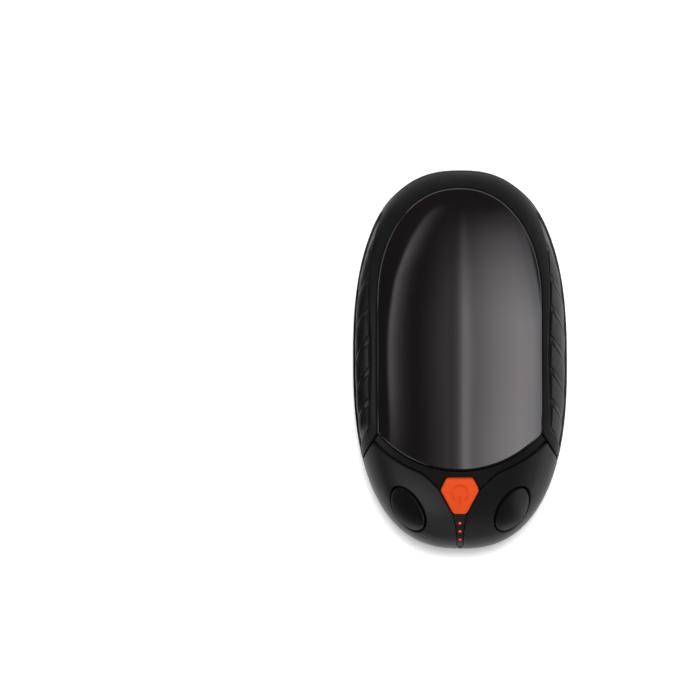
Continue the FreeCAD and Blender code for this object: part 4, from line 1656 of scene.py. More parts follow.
@dataclass(frozen=True)
class Cheeks:
    """Covers on both sides of the button end and the round accents in them. Millimetres."""

    layout: Layout
    gap: float = 0.2
    roll: float = 0.3
    wall: float = 1.4
    eye_place: tuple[float, float] = (13.4, -39.2)
    eye_half: tuple[float, float] = (6.8, 3.65)
    eye_turn: float = 58.0
    eye_groove: float = 0.5
    eye_ball: float = 15.0
    eye_crown: float = 0.6
    eye_wall: float = 1.9
    flare: float = 0.4
    tip_gap: float = 0.12
    sink: float = 0.01
    eye_roll: float = 0.35
    corners: tuple[float, ...] = (2.2, 0.7, 0.9, 0.9, 0.5, 1.4, 1.4, 0.5, 0.5, 0.7, 0.7)

    def _eye_loop(self, shrink: float) -> Array:
        """Outline of the right eye on the skin.

        Args:
            shrink: Distance that it is drawn in by.

        Returns:
            Places on the skin.
        """
        angle = np.linspace(0.0, 2 * math.pi, 181)[:-1]
        turn = math.radians(self.eye_turn)
        long = (self.eye_half[0] - shrink) * np.cos(angle)
        short = (self.eye_half[1] - shrink) * np.sin(angle)
        across = self.eye_place[0] + long * math.cos(turn) - short * math.sin(turn)
        along = self.eye_place[1] + long * math.sin(turn) + short * math.cos(turn)
        return self.layout.skin.above(np.column_stack((across, along)))

    def _outline(self) -> Array:
        """Outline of the right cheek on the skin."""
        layout = self.layout
        skin = layout.skin
        radius = layout.panel_head_radius + layout.bridge_width + self.gap
        corner = layout.seam_meets_arc(self.gap, radius + self.flare)
        seam = layout.seam_run(corner)
        outer = math.asin(corner[0] / (radius + self.flare))
        inner = math.asin(layout.bridge_neck / radius)
        turn = np.linspace(outer, inner, layout.run_points)
        reach = radius + self.flare * ((turn - inner) / (outer - inner)) ** 2
        neck = np.column_stack((reach * np.sin(turn), layout.arc_centre - reach * np.cos(turn)))
        button = layout.button_corners(self.gap)
        tip = layout.strip_tip + self.tip_gap
        wide, high, low = layout.socket_half_width, layout.socket_top, layout.socket_bottom
        shoulder, strip = layout.strip_run(self.gap, tip, high)
        under = (tip, layout.cover_rise - layout.back.height)
        start = layout.turn_of(skin.ahead(np.array((under,)))[0])
        lower = layout.back_run(layout.cover_rise, np.linspace(start, layout.turn_of(seam[-1]), 200))
        flat = straight_runs((neck[-1], button[5], button[4], shoulder))
        notch = straight_runs(((tip, high), (wide, high), (wide, low), (tip, low), under))
        runs = [skin.above(run) for run in (neck, *flat)]
        runs += [strip, *(skin.ahead(run) for run in notch), lower, seam[::-1]]
        return layout.loop(runs, self.corners, 0.2)

    def _eye_lift(self, points: Array) -> Array:
        """Height of the right eye's ball over the pebble.

        Args:
            points: Places on the skin.

        Returns:
            One height for each place.
        """
        skin = self.layout.skin
        crest = skin.above(np.array(self.eye_place)[None, :])
        centre = crest + skin.normals(crest) * (self.eye_crown - self.eye_ball)
        facing = skin.normals(points)
        offset = points - centre
        forward = (facing * offset).sum(axis=1)
        rest = forward ** 2 + self.eye_ball ** 2 - (offset ** 2).sum(axis=1)
        return np.sqrt(np.maximum(rest, 0.0)) - forward

    def build(self) -> tuple[MeshMaker, MeshMaker]:
        """Makes the right cheek and the right eye."""
        skin = self.layout.skin
        cheek, eye = MeshMaker(), MeshMaker()
        edge = rolled_edge(self.roll, self.wall)
        outline, hole = (SkinLoop(loop, edge) for loop in (self._outline(), self._eye_loop(0.0)))
        SkinShell(skin, outline, [hole], lift=-self.sink, spacing=0.6).add_to(cheek)
        rim = SkinLoop(self._eye_loop(self.eye_groove), rolled_edge(self.eye_roll, self.eye_wall))
        SkinShell(skin, rim, lift=self._eye_lift, spacing=0.5).add_to(eye)
        return cheek, eye

    def dress(self, finishes: Finishes) -> None:
        """Shows both sides in place of their solids.

        Args:
            finishes: Materials of the object.
        """
        cheek, eye = self.build()
        accent = finishes.by_slot["accent"]
        pieces = (("cheek", cheek, "shell", finishes.cheek), ("eye_accent", eye, "accent", accent))
        for side in Side:
            word = side.name.lower()
            for kind, maker, slot, material in pieces:
                made = (maker if side is Side.RIGHT else maker.mirrored()).mesh(f"{kind}_skin_{word}")
                show(made, material, Body.CASE, slot, f"{kind}_{word}")


@dataclass(frozen=True)
class Grips:
    """Rubber pads in the sides, with ribs like overlapping scales. Millimetres."""

    layout: Layout
    shape: GripShape
    floor: float = 0.72
    foot: float = 2.2
    bow: float = 0.5
    slant: float = 1.5
    rib_height: float = 0.8
    notch_depth: float = 0.4
    notch_reach: float = 1.3
    back_fade: float = 0.35
    tail_fade: float = 3.0
    along_step: float = 0.14
    front_points: int = 1201
    rows_across: int = 48
    profile: Stops = (
        (0.0, 0.0), (0.045, 0.78), (0.225, 0.62), (0.25, 0.16), (0.28, 0.5), (0.94, 0.9), (1.0, 0.0),
    )
    notch: Stops = (
        (0.0, 0.0), (0.03, 1.0), (0.22, 1.0), (0.26, 0.0), (0.9, 0.0), (1.0, 0.0),
    )

    def _grid(self) -> tuple[Array, Array, Array]:
        """Lays out the pad in the side view.

        Returns:
            Its places row by row, the place along Y of each row's front, and the depth along a row.
        """
        front = self.shape.front_arc(self.front_points)
        total = run_lengths(front)[-1]
        marks = np.linspace(0.0, total, int(total / self.along_step))
        start = at_lengths(front, marks)
        share = (marks / total)[:, None]
        end = np.array(self.shape.head_back) * (1 - share) + np.array(self.shape.tail_back) * share
        down = np.linspace(0.0, 1.0, self.rows_across)[None, :]
        swing = 1.0 - (2.0 * share - 1.0) ** 4
        run = (end - start)[:, :1] - self.slant * swing
        along = start[:, :1] + run * ((1 + self.bow * swing) * down - self.bow * swing * down ** 2)
        level = start[:, 1:] + (end - start)[:, 1:] * down
        return np.stack((along, level), axis=2), start[:, 0], down[0]

    def _pad(self) -> Mesh:
        """Smooth pad of the right side as a closed block, with what its ribs follow as attributes."""
        grid, start, down = self._grid()
        rows, columns = grid.shape[:2]
        skin = self.layout.skin
        flat = grid.reshape(-1, 2)
        base = skin.beside(flat)
        facing = skin.normals(base)
        rim = np.concatenate((
            np.arange(columns), np.arange(1, rows) * columns + columns - 1,
            (rows - 1) * columns + np.arange(columns - 2, -1, -1), np.arange(rows - 2, 0, -1) * columns,
        ))
        foot = len(base) + np.arange(len(rim))
        ahead = np.roll(np.arange(len(rim)), -1)
        first = (np.arange(rows - 1)[:, None] * columns + np.arange(columns - 1)).ravel()
        faces = np.column_stack((first, first + 1, first + columns + 1, first + columns)).tolist()
        faces += np.column_stack((rim, foot, foot[ahead], rim[ahead])).tolist()
        faces += foot[triangles_between([flat[rim]], np.zeros((0, 2)))].tolist()
        places = np.vstack((base - facing * self.floor, base[rim] - facing[rim] * self.foot))
        made = bpy.data.meshes.new("grip_block")
        made.from_pydata((places * MM).tolist(), [], faces)
        made.shade_smooth()
        store(made, "facing", np.vstack((facing, facing[rim])))
        reach = np.linalg.norm(grid - grid[:, :1], axis=2)
        fields = {
            "along": np.repeat(start, columns),
            "fade": self._fade(start, down).ravel(),
            "edge": np.clip(1.0 - reach / self.notch_reach, 0.0, 1.0).ravel(),
        }
        for name, values in fields.items():
            store(made, name, np.concatenate((values, np.zeros(len(rim)))))
        return made

    def _fade(self, start: Array, down: Array) -> Array:
        """How strongly the ribs show over the pad: full at the front, gone at the back edge and the tail.

        Args:
            start: Place along Y of each row's front.
            down: Depth along a row, from 0 to 1.

        Returns:
            One share for each place, row by row.
        """
        across = np.clip((1.0 - down) / self.back_fade, 0.0, 1.0)
        last = self.shape.first_rib + self.shape.rib_pitch * (self.shape.rib_count - 1) + self.shape.rib_width
        tail = np.clip((last + self.tail_fade - start) / self.tail_fade, 0.0, 1.0)
        return tail[:, None] * (across * across * (3 - 2 * across))[None, :]

    @staticmethod
    def _curve(bench: Bench, phase: NodeSocket, stops: Stops) -> NodeSocket:
        """Value of a smooth curve over one rib.

        Args:
            bench: Tree to work in.
            phase: Place within the rib, from 0 to 1.
            stops: Places and values in order.

        Returns:
            The value at the place.
        """
        node = bench.node("ShaderNodeFloatCurve")
        line = node.mapping.curves[0]
        for place, height in stops[1:-1]:
            line.points.new(place, height)
        for point, (place, height) in zip(line.points, stops):
            point.location = (place, height)
            point.handle_type = "AUTO_CLAMPED"
        node.mapping.update()
        bench.feed(node.inputs["Value"], phase)
        return node.outputs[0]

    def _recipe(self) -> Recipe:
        """Geometry Nodes tree that raises the ribs."""
        kinds = {name: "NodeSocketFloat" for name in ("First", "Pitch", "Height", "Notch")}
        recipe = Recipe("Rib Field", {**kinds, "Finish": "NodeSocketMaterial"})
        entry = recipe.entry
        run = recipe.maths("SUBTRACT", recipe.attribute("along"), entry["First"])
        phase = recipe.maths("FRACT", recipe.maths("DIVIDE", run, entry["Pitch"]))
        scale = recipe.maths("SUBTRACT", self._curve(recipe, phase, self.profile), 0.5)
        edge = recipe.maths("SQRT", recipe.attribute("edge"))
        dip = recipe.maths("MULTIPLY", self._curve(recipe, phase, self.notch), edge)
        scaled = recipe.maths("MULTIPLY", scale, entry["Height"])
        sunk = recipe.maths("SUBTRACT", scaled, recipe.maths("MULTIPLY", dip, entry["Notch"]))
        offset = recipe.node("ShaderNodeVectorMath", operation="SCALE")
        recipe.feed(offset.inputs[0], recipe.attribute("facing", "FLOAT_VECTOR"))
        recipe.fed(offset, Scale=recipe.maths("MULTIPLY", sunk, recipe.attribute("fade")))
        moved = recipe.step("GeometryNodeSetPosition", entry["Geometry"], Offset=offset.outputs[0])
        real = recipe.step("GeometryNodeRealizeInstances", moved)
        recipe.put_out(Geometry=recipe.step("GeometryNodeSetMaterial", real, Material=entry["Finish"]))
        return recipe

    def dress(self, finishes: Finishes) -> None:
        """Shows both grips in place of their solids.

        Args:
            finishes: Materials of the object.
        """
        rubber = finishes.by_slot["grip"]
        values = {
            "First": self.shape.first_rib, "Pitch": self.shape.rib_pitch, "Height": self.rib_height * MM,
            "Notch": self.notch_depth * MM, "Finish": rubber,
        }
        right = self._recipe().bake(self._pad(), values, "grip_skin_right")
        left = right.copy()
        left.name = "grip_skin_left"
        left.transform(Matrix.Diagonal((*FLIP, 1.0)))
        left.flip_normals()
        for side, mesh in ((Side.RIGHT, right), (Side.LEFT, left)):
            show(mesh, rubber, Body.CASE, "grip", f"grip_{side.name.lower()}")


@dataclass(frozen=True)
class PowerButton:
    """Six-sided button with a generic power mark pressed into it. Millimetres."""

    layout: Layout
    proud: float = 0.25
    roll: float = 0.4
    wall: float = 2.0
    rounding: float = 0.75
    mark_centre: float = -35.0
    mark_radius: float = 2.05
    mark_stroke: float = 0.66
    mark_opening: float = 41.0
    mark_depth: float = 0.3
    bar: tuple[float, float] = (-35.9, -37.6)

    def _cap(self, centre: Array, facing: float) -> Array:
        """Half circle of the stroke's end, turned by an angle."""
        turn = facing + np.linspace(-math.pi / 2, math.pi / 2, 9)[1:-1]
        return centre + self.mark_stroke / 2 * np.column_stack((np.cos(turn), np.sin(turn)))

    def _ring_mark(self) -> Array:
        """Outline of the open ring."""
        opening = math.radians(self.mark_opening)
        turn = np.linspace(-math.pi / 2 + opening, 3 * math.pi / 2 - opening, 97)
        way = np.column_stack((np.cos(turn), np.sin(turn)))
        middle = np.array((0.0, self.mark_centre))
        outer = middle + way * (self.mark_radius + self.mark_stroke / 2)
        inner = middle + way * (self.mark_radius - self.mark_stroke / 2)
        end = self._cap(middle + way[-1] * self.mark_radius, turn[-1] + math.pi / 2)
        start = self._cap(middle + way[0] * self.mark_radius, turn[0] - math.pi / 2)
        return np.vstack((outer, end, inner[::-1], start))

    def _bar_mark(self) -> Array:
        """Outline of the bar."""
        half = self.mark_stroke / 2
        high, low = self.bar
        top = self._cap(np.array((0.0, high)), math.pi / 2)
        foot = self._cap(np.array((0.0, low)), -math.pi / 2)
        sides = np.linspace(high, low, 24)
        right = np.column_stack((np.full_like(sides, half), sides[::-1]))
        left = np.column_stack((np.full_like(sides, -half), sides))
        return np.vstack((right, top, left, foot))

    def build(self) -> Mesh:
        """Makes the button's mesh."""
        skin = self.layout.skin
        # The rim values on the mark's walls and floor carry painted shade that darkens the pressed mark.
        pressed = (Ring(0.07, 0.0, 90.0), Ring(0.0, 0.06, 45.0, 0.7), Ring(-0.02, self.mark_depth, 10.0, 1.0))
        marks = [SkinLoop(skin.above(mark), pressed) for mark in (self._ring_mark(), self._bar_mark())]
        outline = SkinLoop(self.layout.button_loop(0.0, self.rounding), rolled_edge(self.roll, self.wall))
        return SkinShell(skin, outline, pockets=marks, lift=self.proud, spacing=0.4).mesh("power_button_skin")

    def dress(self, finishes: Finishes) -> None:
        """Shows the button in place of its solid."""
        show(self.build(), finishes.by_slot["button"], Body.BUTTON, "button", "power_button")


@dataclass(frozen=True)
class ChargeLights:
    """Dark tapering window under the button and the row of light pins in it. Millimetres."""

    layout: Layout
    recess: float = 0.4
    tip_recess: float = 0.12
    thickness: float = 0.8
    gap: float = 0.1
    pin_along: float = -42.8
    pin_pitch: float = 2.15
    pin_count: int = 4
    lit_count: int = 3
    pin_radius: float = 0.55
    pin_seat: float = 0.05
    lens_flatness: float = 0.42
    barrel_share: float = 0.94
    barrel_depth: float = 1.1
    barrel_place: float = -0.56
    round_sides: int = 28
    lens_rings: int = 16
    head_gap: float = 0.2
    foot_gap: float = 0.04
    rise_run: float = 6.0
    roll: float = 0.14
    corners: tuple[float, ...] = (0.3, 0.3, 0.6, 0.3, 0.3, 0.6)

    def _window(self) -> Mesh:
        """Makes the window's mesh."""
        layout = self.layout
        skin = layout.skin
        tip, foot = layout.strip_tip, layout.strip_bottom + self.foot_gap
        head = layout.button_corners(self.head_gap)[4] - self.gap
        shoulder, strip = layout.strip_run(self.gap, tip, foot)
        flank, across = straight_runs((shoulder, head, head * (-1, 1)))
        right = [skin.above(flank), strip[::-1]]
        left = [(run * FLIP)[::-1] for run in right]
        under = skin.ahead(straight_runs(((-tip, foot), (tip, foot)))[0])
        runs = [right[0], skin.above(across), *left, under, right[1]]
        loop = layout.loop(runs, self.corners, layout.button_step)
        outline = SkinLoop(loop, rolled_edge(self.roll, self.thickness, 3))
        return SkinShell(skin, outline, lift=self._lift, spacing=0.4).mesh("light_window_skin")

    def _lift(self, points: Array) -> Array:
        """Height over the pebble: sunk under the button, nearly level with the cheeks at the tip."""
        share = np.clip((self.pin_along - points[:, 1]) / self.rise_run, 0.0, 1.0)
        return -self.recess + (self.recess - self.tip_recess) * share * share * (3 - 2 * share)

    def _recipe(self) -> Recipe:
        """Geometry Nodes tree that sets a lens with a barrel on every point."""
        kinds = {"Radius": "NodeSocketFloat", "Lit": "NodeSocketMaterial", "Dark": "NodeSocketMaterial"}
        recipe = Recipe("Light Pins", kinds)
        entry, radius = recipe.entry, recipe.entry["Radius"]
        lens = recipe.node("GeometryNodeMeshUVSphere")
        recipe.fed(lens, Segments=self.round_sides, Rings=self.lens_rings, Radius=radius)
        parts = recipe.node("ShaderNodeSeparateXYZ")
        recipe.fed(parts, Vector=recipe.node("GeometryNodeInputPosition").outputs[0])
        height = recipe.maths("DIVIDE", parts.outputs["Z"], radius)
        rim = recipe.maths("SUBTRACT", 1.0, recipe.maths("MAXIMUM", height, 0.0))
        stored = recipe.step("GeometryNodeStoreNamedAttribute", lens.outputs["Mesh"], Name="rim", Value=rim)
        flat = recipe.step("GeometryNodeTransform", stored, Scale=(1.0, 1.0, self.lens_flatness))
        barrel = recipe.node("GeometryNodeMeshCylinder")
        inner = recipe.maths("MULTIPLY", radius, self.barrel_share)
        recipe.fed(barrel, Vertices=self.round_sides, Radius=inner, Depth=self.barrel_depth * MM)
        place = (0.0, 0.0, self.barrel_place * MM)
        low = recipe.step("GeometryNodeTransform", barrel.outputs["Mesh"], Translation=place)
        joined = recipe.node("GeometryNodeJoinGeometry")
        for piece in (flat, low):
            recipe.feed(joined.inputs[0], piece)
        align = recipe.node("FunctionNodeAlignRotationToVector", axis="Z")
        recipe.fed(align, Vector=recipe.attribute("facing", "FLOAT_VECTOR"))
        pin = {"Instance": joined.outputs[0], "Rotation": align.outputs[0]}
        placed = recipe.step("GeometryNodeInstanceOnPoints", entry["Geometry"], **pin)
        real = recipe.step("GeometryNodeRealizeInstances", placed)
        smooth = recipe.step("GeometryNodeSetShadeSmooth", real)
        dark = recipe.step("GeometryNodeSetMaterial", smooth, Material=entry["Dark"])
        lit = recipe.maths("GREATER_THAN", recipe.attribute("lit"), 0.5)
        shining = recipe.step("GeometryNodeSetMaterial", dark, Selection=lit, Material=entry["Lit"])
        recipe.put_out(Geometry=shining)
        return recipe

    def _pins(self, finishes: Finishes) -> Mesh:
        """Makes the row of pins.

        Args:
            finishes: Materials of the object.

        Returns:
            The mesh.
        """
        skin = self.layout.skin
        order = np.arange(self.pin_count)
        along = self.pin_along - self.pin_pitch * order
        base = skin.above(np.column_stack((np.zeros(self.pin_count), along)))
        facing = skin.normals(base)
        places = base + facing * (self._lift(base) - self.pin_seat)[:, None]
        seats = bpy.data.meshes.new("pin_seats")
        seats.from_pydata((places * MM).tolist(), [], [])
        store(seats, "facing", facing)
        store(seats, "lit", (order < self.lit_count).astype(float))
        lit = finishes.by_slot["light_clear"]
        values = {"Radius": self.pin_radius * MM, "Lit": lit, "Dark": finishes.dark_light}
        return self._recipe().bake(seats, values, "light_pin_lenses")

    def dress(self, finishes: Finishes) -> None:
        """Shows the window and the pins in place of their solids."""
        slots = finishes.by_slot
        show(self._window(), slots["light_window"], Body.CASE, "light_window", "light_strip")
        show(self._pins(finishes), slots["light_clear"], Body.CASE, "light_clear", "light_pins")


@dataclass(frozen=True)
class BackCover:
    """Stepped back plate with a rounded rim. Millimetres."""

    layout: Layout
    rise: float = 1.4
    roll: float = 0.8
    wall: float = 1.6
    floor: float = 1.5
    count: int = 560

    def _slope(self, along: Array) -> Array:
        """Outward directions of the back at places along the length."""
        level = self.layout.back.level
        climb = (level(along + SLOPE_STEP) - level(along - SLOPE_STEP)) / (2 * SLOPE_STEP)
        return unit(np.column_stack((np.zeros_like(along), climb, np.full_like(along, -1.0))))

    def build(self) -> Mesh:
        """Makes the cover's mesh."""
        layout = self.layout
        turns = np.linspace(0.0, 2 * math.pi, self.count, endpoint=False)
        maker = MeshMaker()
        brink = layout.back_run(0.0, turns)
        outward = unit(layout.skin.normals(brink) * (1.0, 1.0, 0.0))
        under = brink - outward * self.roll
        under[:, 2] = layout.back.level(under[:, 1])
        start = layout.back_run(self.roll, turns)
        side, flat = layout.skin.normals(start), self._slope(under[:, 1])
        edge = layout.back_run(self.rise, turns)
        rings = [maker.points(edge, layout.skin.normals(edge))]
        for share in np.linspace(0.0, 1.0, 8):
            place = (1 - share) ** 2 * start + 2 * share * (1 - share) * brink + share ** 2 * under
            shades = unit((1 - share) * side + share * flat)
            rings.append(maker.points(place, shades, 1.0 if 0 < share < 1 else 0.0))
        inner = edge - outward * self.wall
        sunk = inner.copy()
        sunk[:, 2] = layout.back.level(sunk[:, 1]) + self.floor
        upward = np.tile((0.0, 0.0, 1.0), (self.count, 1))
        top = [maker.points(inner, upward), maker.points(edge, upward)]
        wall = [maker.points(sunk, -outward), maker.points(inner, -outward)]
        for lower, upper in (top, wall):
            maker.band(upper, lower, self.count)
        for upper, lower in zip(rings, rings[1:]):
            maker.band(lower, upper, self.count)
        self._fill(maker, under, rings[-1], 0.0, True)
        self._fill(maker, sunk, maker.points(sunk, upward), self.floor, False)
        return maker.mesh("back_cover_skin")

    def _fill(self, maker: MeshMaker, ring: Array, first: int, lift: float, under: bool) -> None:
        """Closes a ring of points with a plate that follows the stepped profile.

        Args:
            maker: Mesh to add to.
            ring: The ring's places.
            first: Number of its first point.
            lift: Height of the plate over the profile.
            under: Whether the plate faces downwards.
        """
        outline = ring[:, :2]
        inner = interior_places([outline], 1.0)
        level = self.layout.back.level(inner[:, 1]) + lift
        shades = self._slope(inner[:, 1]) * (1.0 if under else -1.0)
        second = maker.points(np.column_stack((inner, level)), shades)
        runs = ((first, len(ring)), (second, len(inner)))
        numbers = np.concatenate([np.arange(start, start + count) for start, count in runs])
        faces = numbers[triangles_between([outline], inner)]
        maker.faces(faces[:, ::-1] if under else faces)

    def dress(self, finishes: Finishes) -> None:
        """Shows the cover in place of its solid."""
        show(self.build(), finishes.back, Body.CASE, "shell", "back_cover")


class Interior:
    """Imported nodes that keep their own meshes: the socket, the electronics, the battery and the heater."""

    def dress(self, finishes: Finishes) -> None:
        """Gives every node that still shows the finish of its slot.

        Args:
            finishes: Materials of the object.
        """
        for name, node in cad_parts.items():
            if node.hide_render:
                continue
            for place in node.material_slots:
                slot = place.material.name.split(".")[0]
                place.material = finishes.by_slot[slot]
            LOG.info("%s keeps its solid", name)


@dataclass(frozen=True)
class Viewpoint:
    """Camera of the photograph. Millimetres, pixels and radians."""

    target: Place = (0.0, 0.0, 10.0)
    distance: float = 500.0
    yaw: float = -0.005
    pitch: float = -0.026
    roll: float = 0.003
    scale: float = 3.848
    offset: tuple[float, float] = (109.5, -7.6)
    frame_size: int = 700
    sensor: float = 36.0
    clip: Span = (0.01, 20.0)

    def build(self) -> None:
        """Places the camera and makes it the scene's own."""
        turn = (
            Matrix.Rotation(self.roll, 3, "Z") @ Matrix.Rotation(self.pitch, 3, "X")
            @ Matrix.Rotation(self.yaw, 3, "Y")
        )
        place = Vector(self.target) + turn.row[2] * self.distance
        reach = self.scale * self.distance
        seen = Vector((*self.offset, -reach)).normalized()
        pan = Vector((0.0, 0.0, -1.0)).rotation_difference(seen).to_matrix()
        data = bpy.data.cameras.new("photo_camera")
        data.sensor_width = self.sensor
        data.lens = reach * self.sensor / self.frame_size
        data.clip_start, data.clip_end = self.clip
        camera = bpy.data.objects.new("photo_camera", data)
        camera.matrix_world = Matrix.Translation(place * MM) @ (pan @ turn).transposed().to_4x4()
        bpy.context.scene.collection.objects.link(camera)
        bpy.context.scene.camera = camera


class Shown(Enum):
    """Whether a part of the studio shows to the camera, to matt surfaces and to the lamps."""

    FLOOR = (True, True, False)
    TENT = (False, True, True)
    CARD = (False, False, False)


@dataclass(frozen=True)
class Studio:
    """White floor in a dark tent, with lamps for what is matt and cards for what is glossy. Metres."""

    world_fill: float = 0.3
    lean: float = 5.1
    floor_lip: Place = (0.0, -0.0436, -0.0069)
    floor_radius: float = 1.5
    floor_sides: int = 96
    floor_shade: float = 0.8
    floor_glow: float = 0.48
    floor_mirrored: float = 0.1
    floor_white: Span = (0.2, 0.6)
    tent_radius: float = 1.4
    tent_levels: Span = (-0.2, 1.7)
    tent_shade: float = 0.02
    drum_sides: int = 64
    card_height: float = 0.8
    card_across: Span = (-1.15, 1.25)
    card_along: Span = (-0.95, 0.85)
    card_barrel: float = 4.1
    card_bend: float = 0.46
    card_bend_start: float = 0.23
    card_bow: float = 1.1
    card_strength: float = 4.4
    side_foot: Stops = ((0.9, -0.9), (0.9, 0.6))
    head_foot: Stops = ((-0.45, -1.0), (0.45, -1.0))
    left_foot: Stops = ((-0.9, 0.15), (-0.9, -0.4))
    flag_place: float = -0.034
    flag_along: Span = (-0.021, 0.06)
    flag_levels: Span = (-0.012, 0.012)
    flag_shade: float = 0.01
    low_radius: float = 1.3
    low_levels: Span = (0.02, 0.65)
    low_glow: Stops = ((0.02, 0.0), (0.12, 0.8), (0.45, 0.9), (0.65, 0.0))
    low_across: Stops = ((-1.3, 1.0), (-0.5, 1.0), (0.5, 0.2), (1.3, 0.2))
    key_place: Place = (0.06, 0.22, 1.15)
    under_place: Place = (0.0, 0.0, -1.0)
    key_size: float = 0.32
    key_level: float = 1.0
    glow_across: Stops = (
        (-0.3, 0.0), (-0.22, 0.01), (-0.159, 0.04), (-0.06, 0.12), (-0.03, 0.09), (-0.002, 0.2),
        (0.014, 0.68), (0.026, 0.66), (0.06, 0.42), (0.085, 0.43), (0.225, 0.72), (0.387, 0.92),
        (0.54, 0.86), (0.62, 0.68), (0.76, 0.6), (0.84, 0.0), (1.0, 0.0), (1.04, 0.6), (1.25, 0.6),
    )
    glow_along: Stops = (
        (-0.5, 1.0), (0.07, 0.97), (0.15, 0.74), (0.266, 0.44), (0.42, 0.2), (0.48, 0.12), (0.65, 0.02),
        (0.78, 0.0),
    )
    cool_across: Stops = ((-0.1, 0.0), (0.01, 0.7), (0.05, 0.4), (0.12, 0.0), (0.42, 0.0), (0.6, 1.0))
    warm_light: Colour = (1.0, 0.94, 0.955, 1.0)
    cool_light: Colour = (0.965, 0.95, 1.0, 1.0)
    band_across: Stops = (
        (-0.53, 0.0), (-0.492, 0.34), (-0.47, 0.3), (-0.4, 0.12), (-0.34, 0.03), (-0.28, 0.0),
    )
    band_along: Stops = (
        (-0.5, 0.08), (-0.25, 0.28), (-0.12, 0.52), (-0.02, 0.88), (0.08, 1.0), (0.34, 1.0), (0.53, 0.6),
        (0.7, 0.3), (0.84, 0.0),
    )
    front_height: float = 0.7
    front_strength: float = 2.2
    front_across: Stops = ((-1.0, 0.3), (-0.6, 1.0), (-0.1, 0.8), (0.1, 0.0))
    front_along: Stops = ((-0.9, 0.4), (-0.6, 0.8), (-0.45, 1.0), (-0.38, 0.9))
    head_glow: Stops = ((0.05, 0.2), (0.15, 0.5), (0.6, 0.5), (0.75, 0.1))
    left_glow: Stops = ((0.2, 0.0), (0.32, 2.4), (0.7, 2.4), (0.9, 0.0))
    side_glow: Stops = (
        (-0.05, 2.1), (0.05, 2.1), (0.17, 0.0), (0.38, 0.0), (0.45, 0.9), (0.6, 0.9), (0.66, 0.0), (0.7, 0.0),
    )

    def build(self) -> None:
        """Sets up the view transform, the world, the floor, the tent, the cards and the lamps."""
        bpy.context.scene.view_settings.view_transform = "Standard"
        self._world()
        self._floor()
        tent = NodePaint("dark_tent")
        tent.bench.feed(tent.surface, tent.matt(self.tent_shade))
        self._drum(tent, self.tent_radius, self.tent_levels, Shown.TENT)
        self._card()
        self._front_card()
        self._upright("side_card", self.side_foot, self.side_glow)
        self._upright("head_card", self.head_foot, self.head_glow, "cheek_skin_left", "cheek_skin_right")
        self._upright("left_card", self.left_foot, self.left_glow, "front_frame_skin", "grip_skin_left")
        self._low_band()
        self._flag()
        self._lamp("key_lamp", Vector(self.key_place))
        self._lamp("under_lamp", Vector(self.under_place))

    def _world(self) -> None:
        """White for what looks at it directly, in a mirror or through glass, and a faint fill otherwise."""
        world = bpy.data.worlds.new("white_world")
        world.use_nodes = True
        world.node_tree.nodes.clear()
        bench = Bench(world.node_tree)
        rays = bench.node("ShaderNodeLightPath").outputs
        clear = bench.maths("MAXIMUM", rays["Is Camera Ray"], rays["Is Transmission Ray"])
        seen = bench.maths("MAXIMUM", clear, rays["Is Glossy Ray"])
        sky = bench.node("ShaderNodeBackground")
        bench.fed(sky, Strength=bench.remap(seen, (0.0, 1.0), (self.world_fill, 1.0)))
        bench.fed(bench.node("ShaderNodeOutputWorld"), Surface=sky.outputs[0])
        bpy.context.scene.world = world

    @staticmethod
    def _set_up(paint: NodePaint, places: Sequence[Place], faces: Sequence[Sequence[int]], shown: Shown,
                *lit: str) -> Object:
        """Puts a part of the studio into the scene.

        Args:
            paint: Its material, which also names the part.
            places: Its corners.
            faces: Its faces, by the numbers of their corners.
            shown: What it shows to.
            lit: Pieces that alone are lit by it, or none where it lights them all.

        Returns:
            The part.
        """
        name = paint.material.name
        mesh = bpy.data.meshes.new(name)
        mesh.from_pydata(places, [], faces)
        mesh.materials.append(paint.material)
        made = bpy.data.objects.new(name, mesh)
        bpy.context.scene.collection.objects.link(made)
        made.visible_camera, made.visible_diffuse, made.visible_shadow = shown.value
        if lit:
            receivers = bpy.data.collections.new(f"lit_by_{name}")
            for piece in lit:
                receivers.objects.link(bpy.data.objects[piece])
            made.light_linking.receiver_collection = receivers
        return made

    @staticmethod
    def _circle(radius: float, count: int, level: float) -> list[Place]:
        """Places round a level circle."""
        turns = [2 * math.pi * number / count for number in range(count)]
        return [(radius * math.cos(turn), radius * math.sin(turn), level) for turn in turns]

    def _floor(self) -> None:
        """Pale floor that keeps the object's shadow, white further off and clear from below."""
        paint = NodePaint("white_floor")
        bench = paint.bench
        rays = bench.node("ShaderNodeLightPath").outputs
        away = bench.node("ShaderNodeVectorMath", operation="LENGTH")
        bench.feed(away.inputs[0], paint.place)
        white = bench.remap(away.outputs["Value"], self.floor_white, (self.floor_glow, 1.0), smooth=True)
        mirrored = bench.maths("MAXIMUM", rays["Is Glossy Ray"], rays["Is Transmission Ray"])
        seen = bench.maths("MULTIPLY", rays["Is Camera Ray"], white)
        glow = paint.glow(bench.maths("MULTIPLY_ADD", mirrored, self.floor_mirrored, seen))
        below = bench.node("ShaderNodeNewGeometry").outputs["Backfacing"]
        clear = bench.node("ShaderNodeBsdfTransparent").outputs[0]
        both, sided = bench.node("ShaderNodeAddShader"), bench.node("ShaderNodeMixShader")
        values = (paint.matt(self.floor_shade), glow, below, both.outputs[0], clear)
        for socket, value in zip((*both.inputs, *sided.inputs), values):
            bench.feed(socket, value)
        bench.feed(paint.surface, sided.outputs[0])
        rim = self._circle(self.floor_radius, self.floor_sides, 0.0)
        floor = self._set_up(paint, rim, [range(self.floor_sides)], Shown.FLOOR)
        tilt = Matrix.Rotation(math.radians(self.lean), 4, "X")
        floor.data.transform(Matrix.Translation(self.floor_lip) @ tilt)

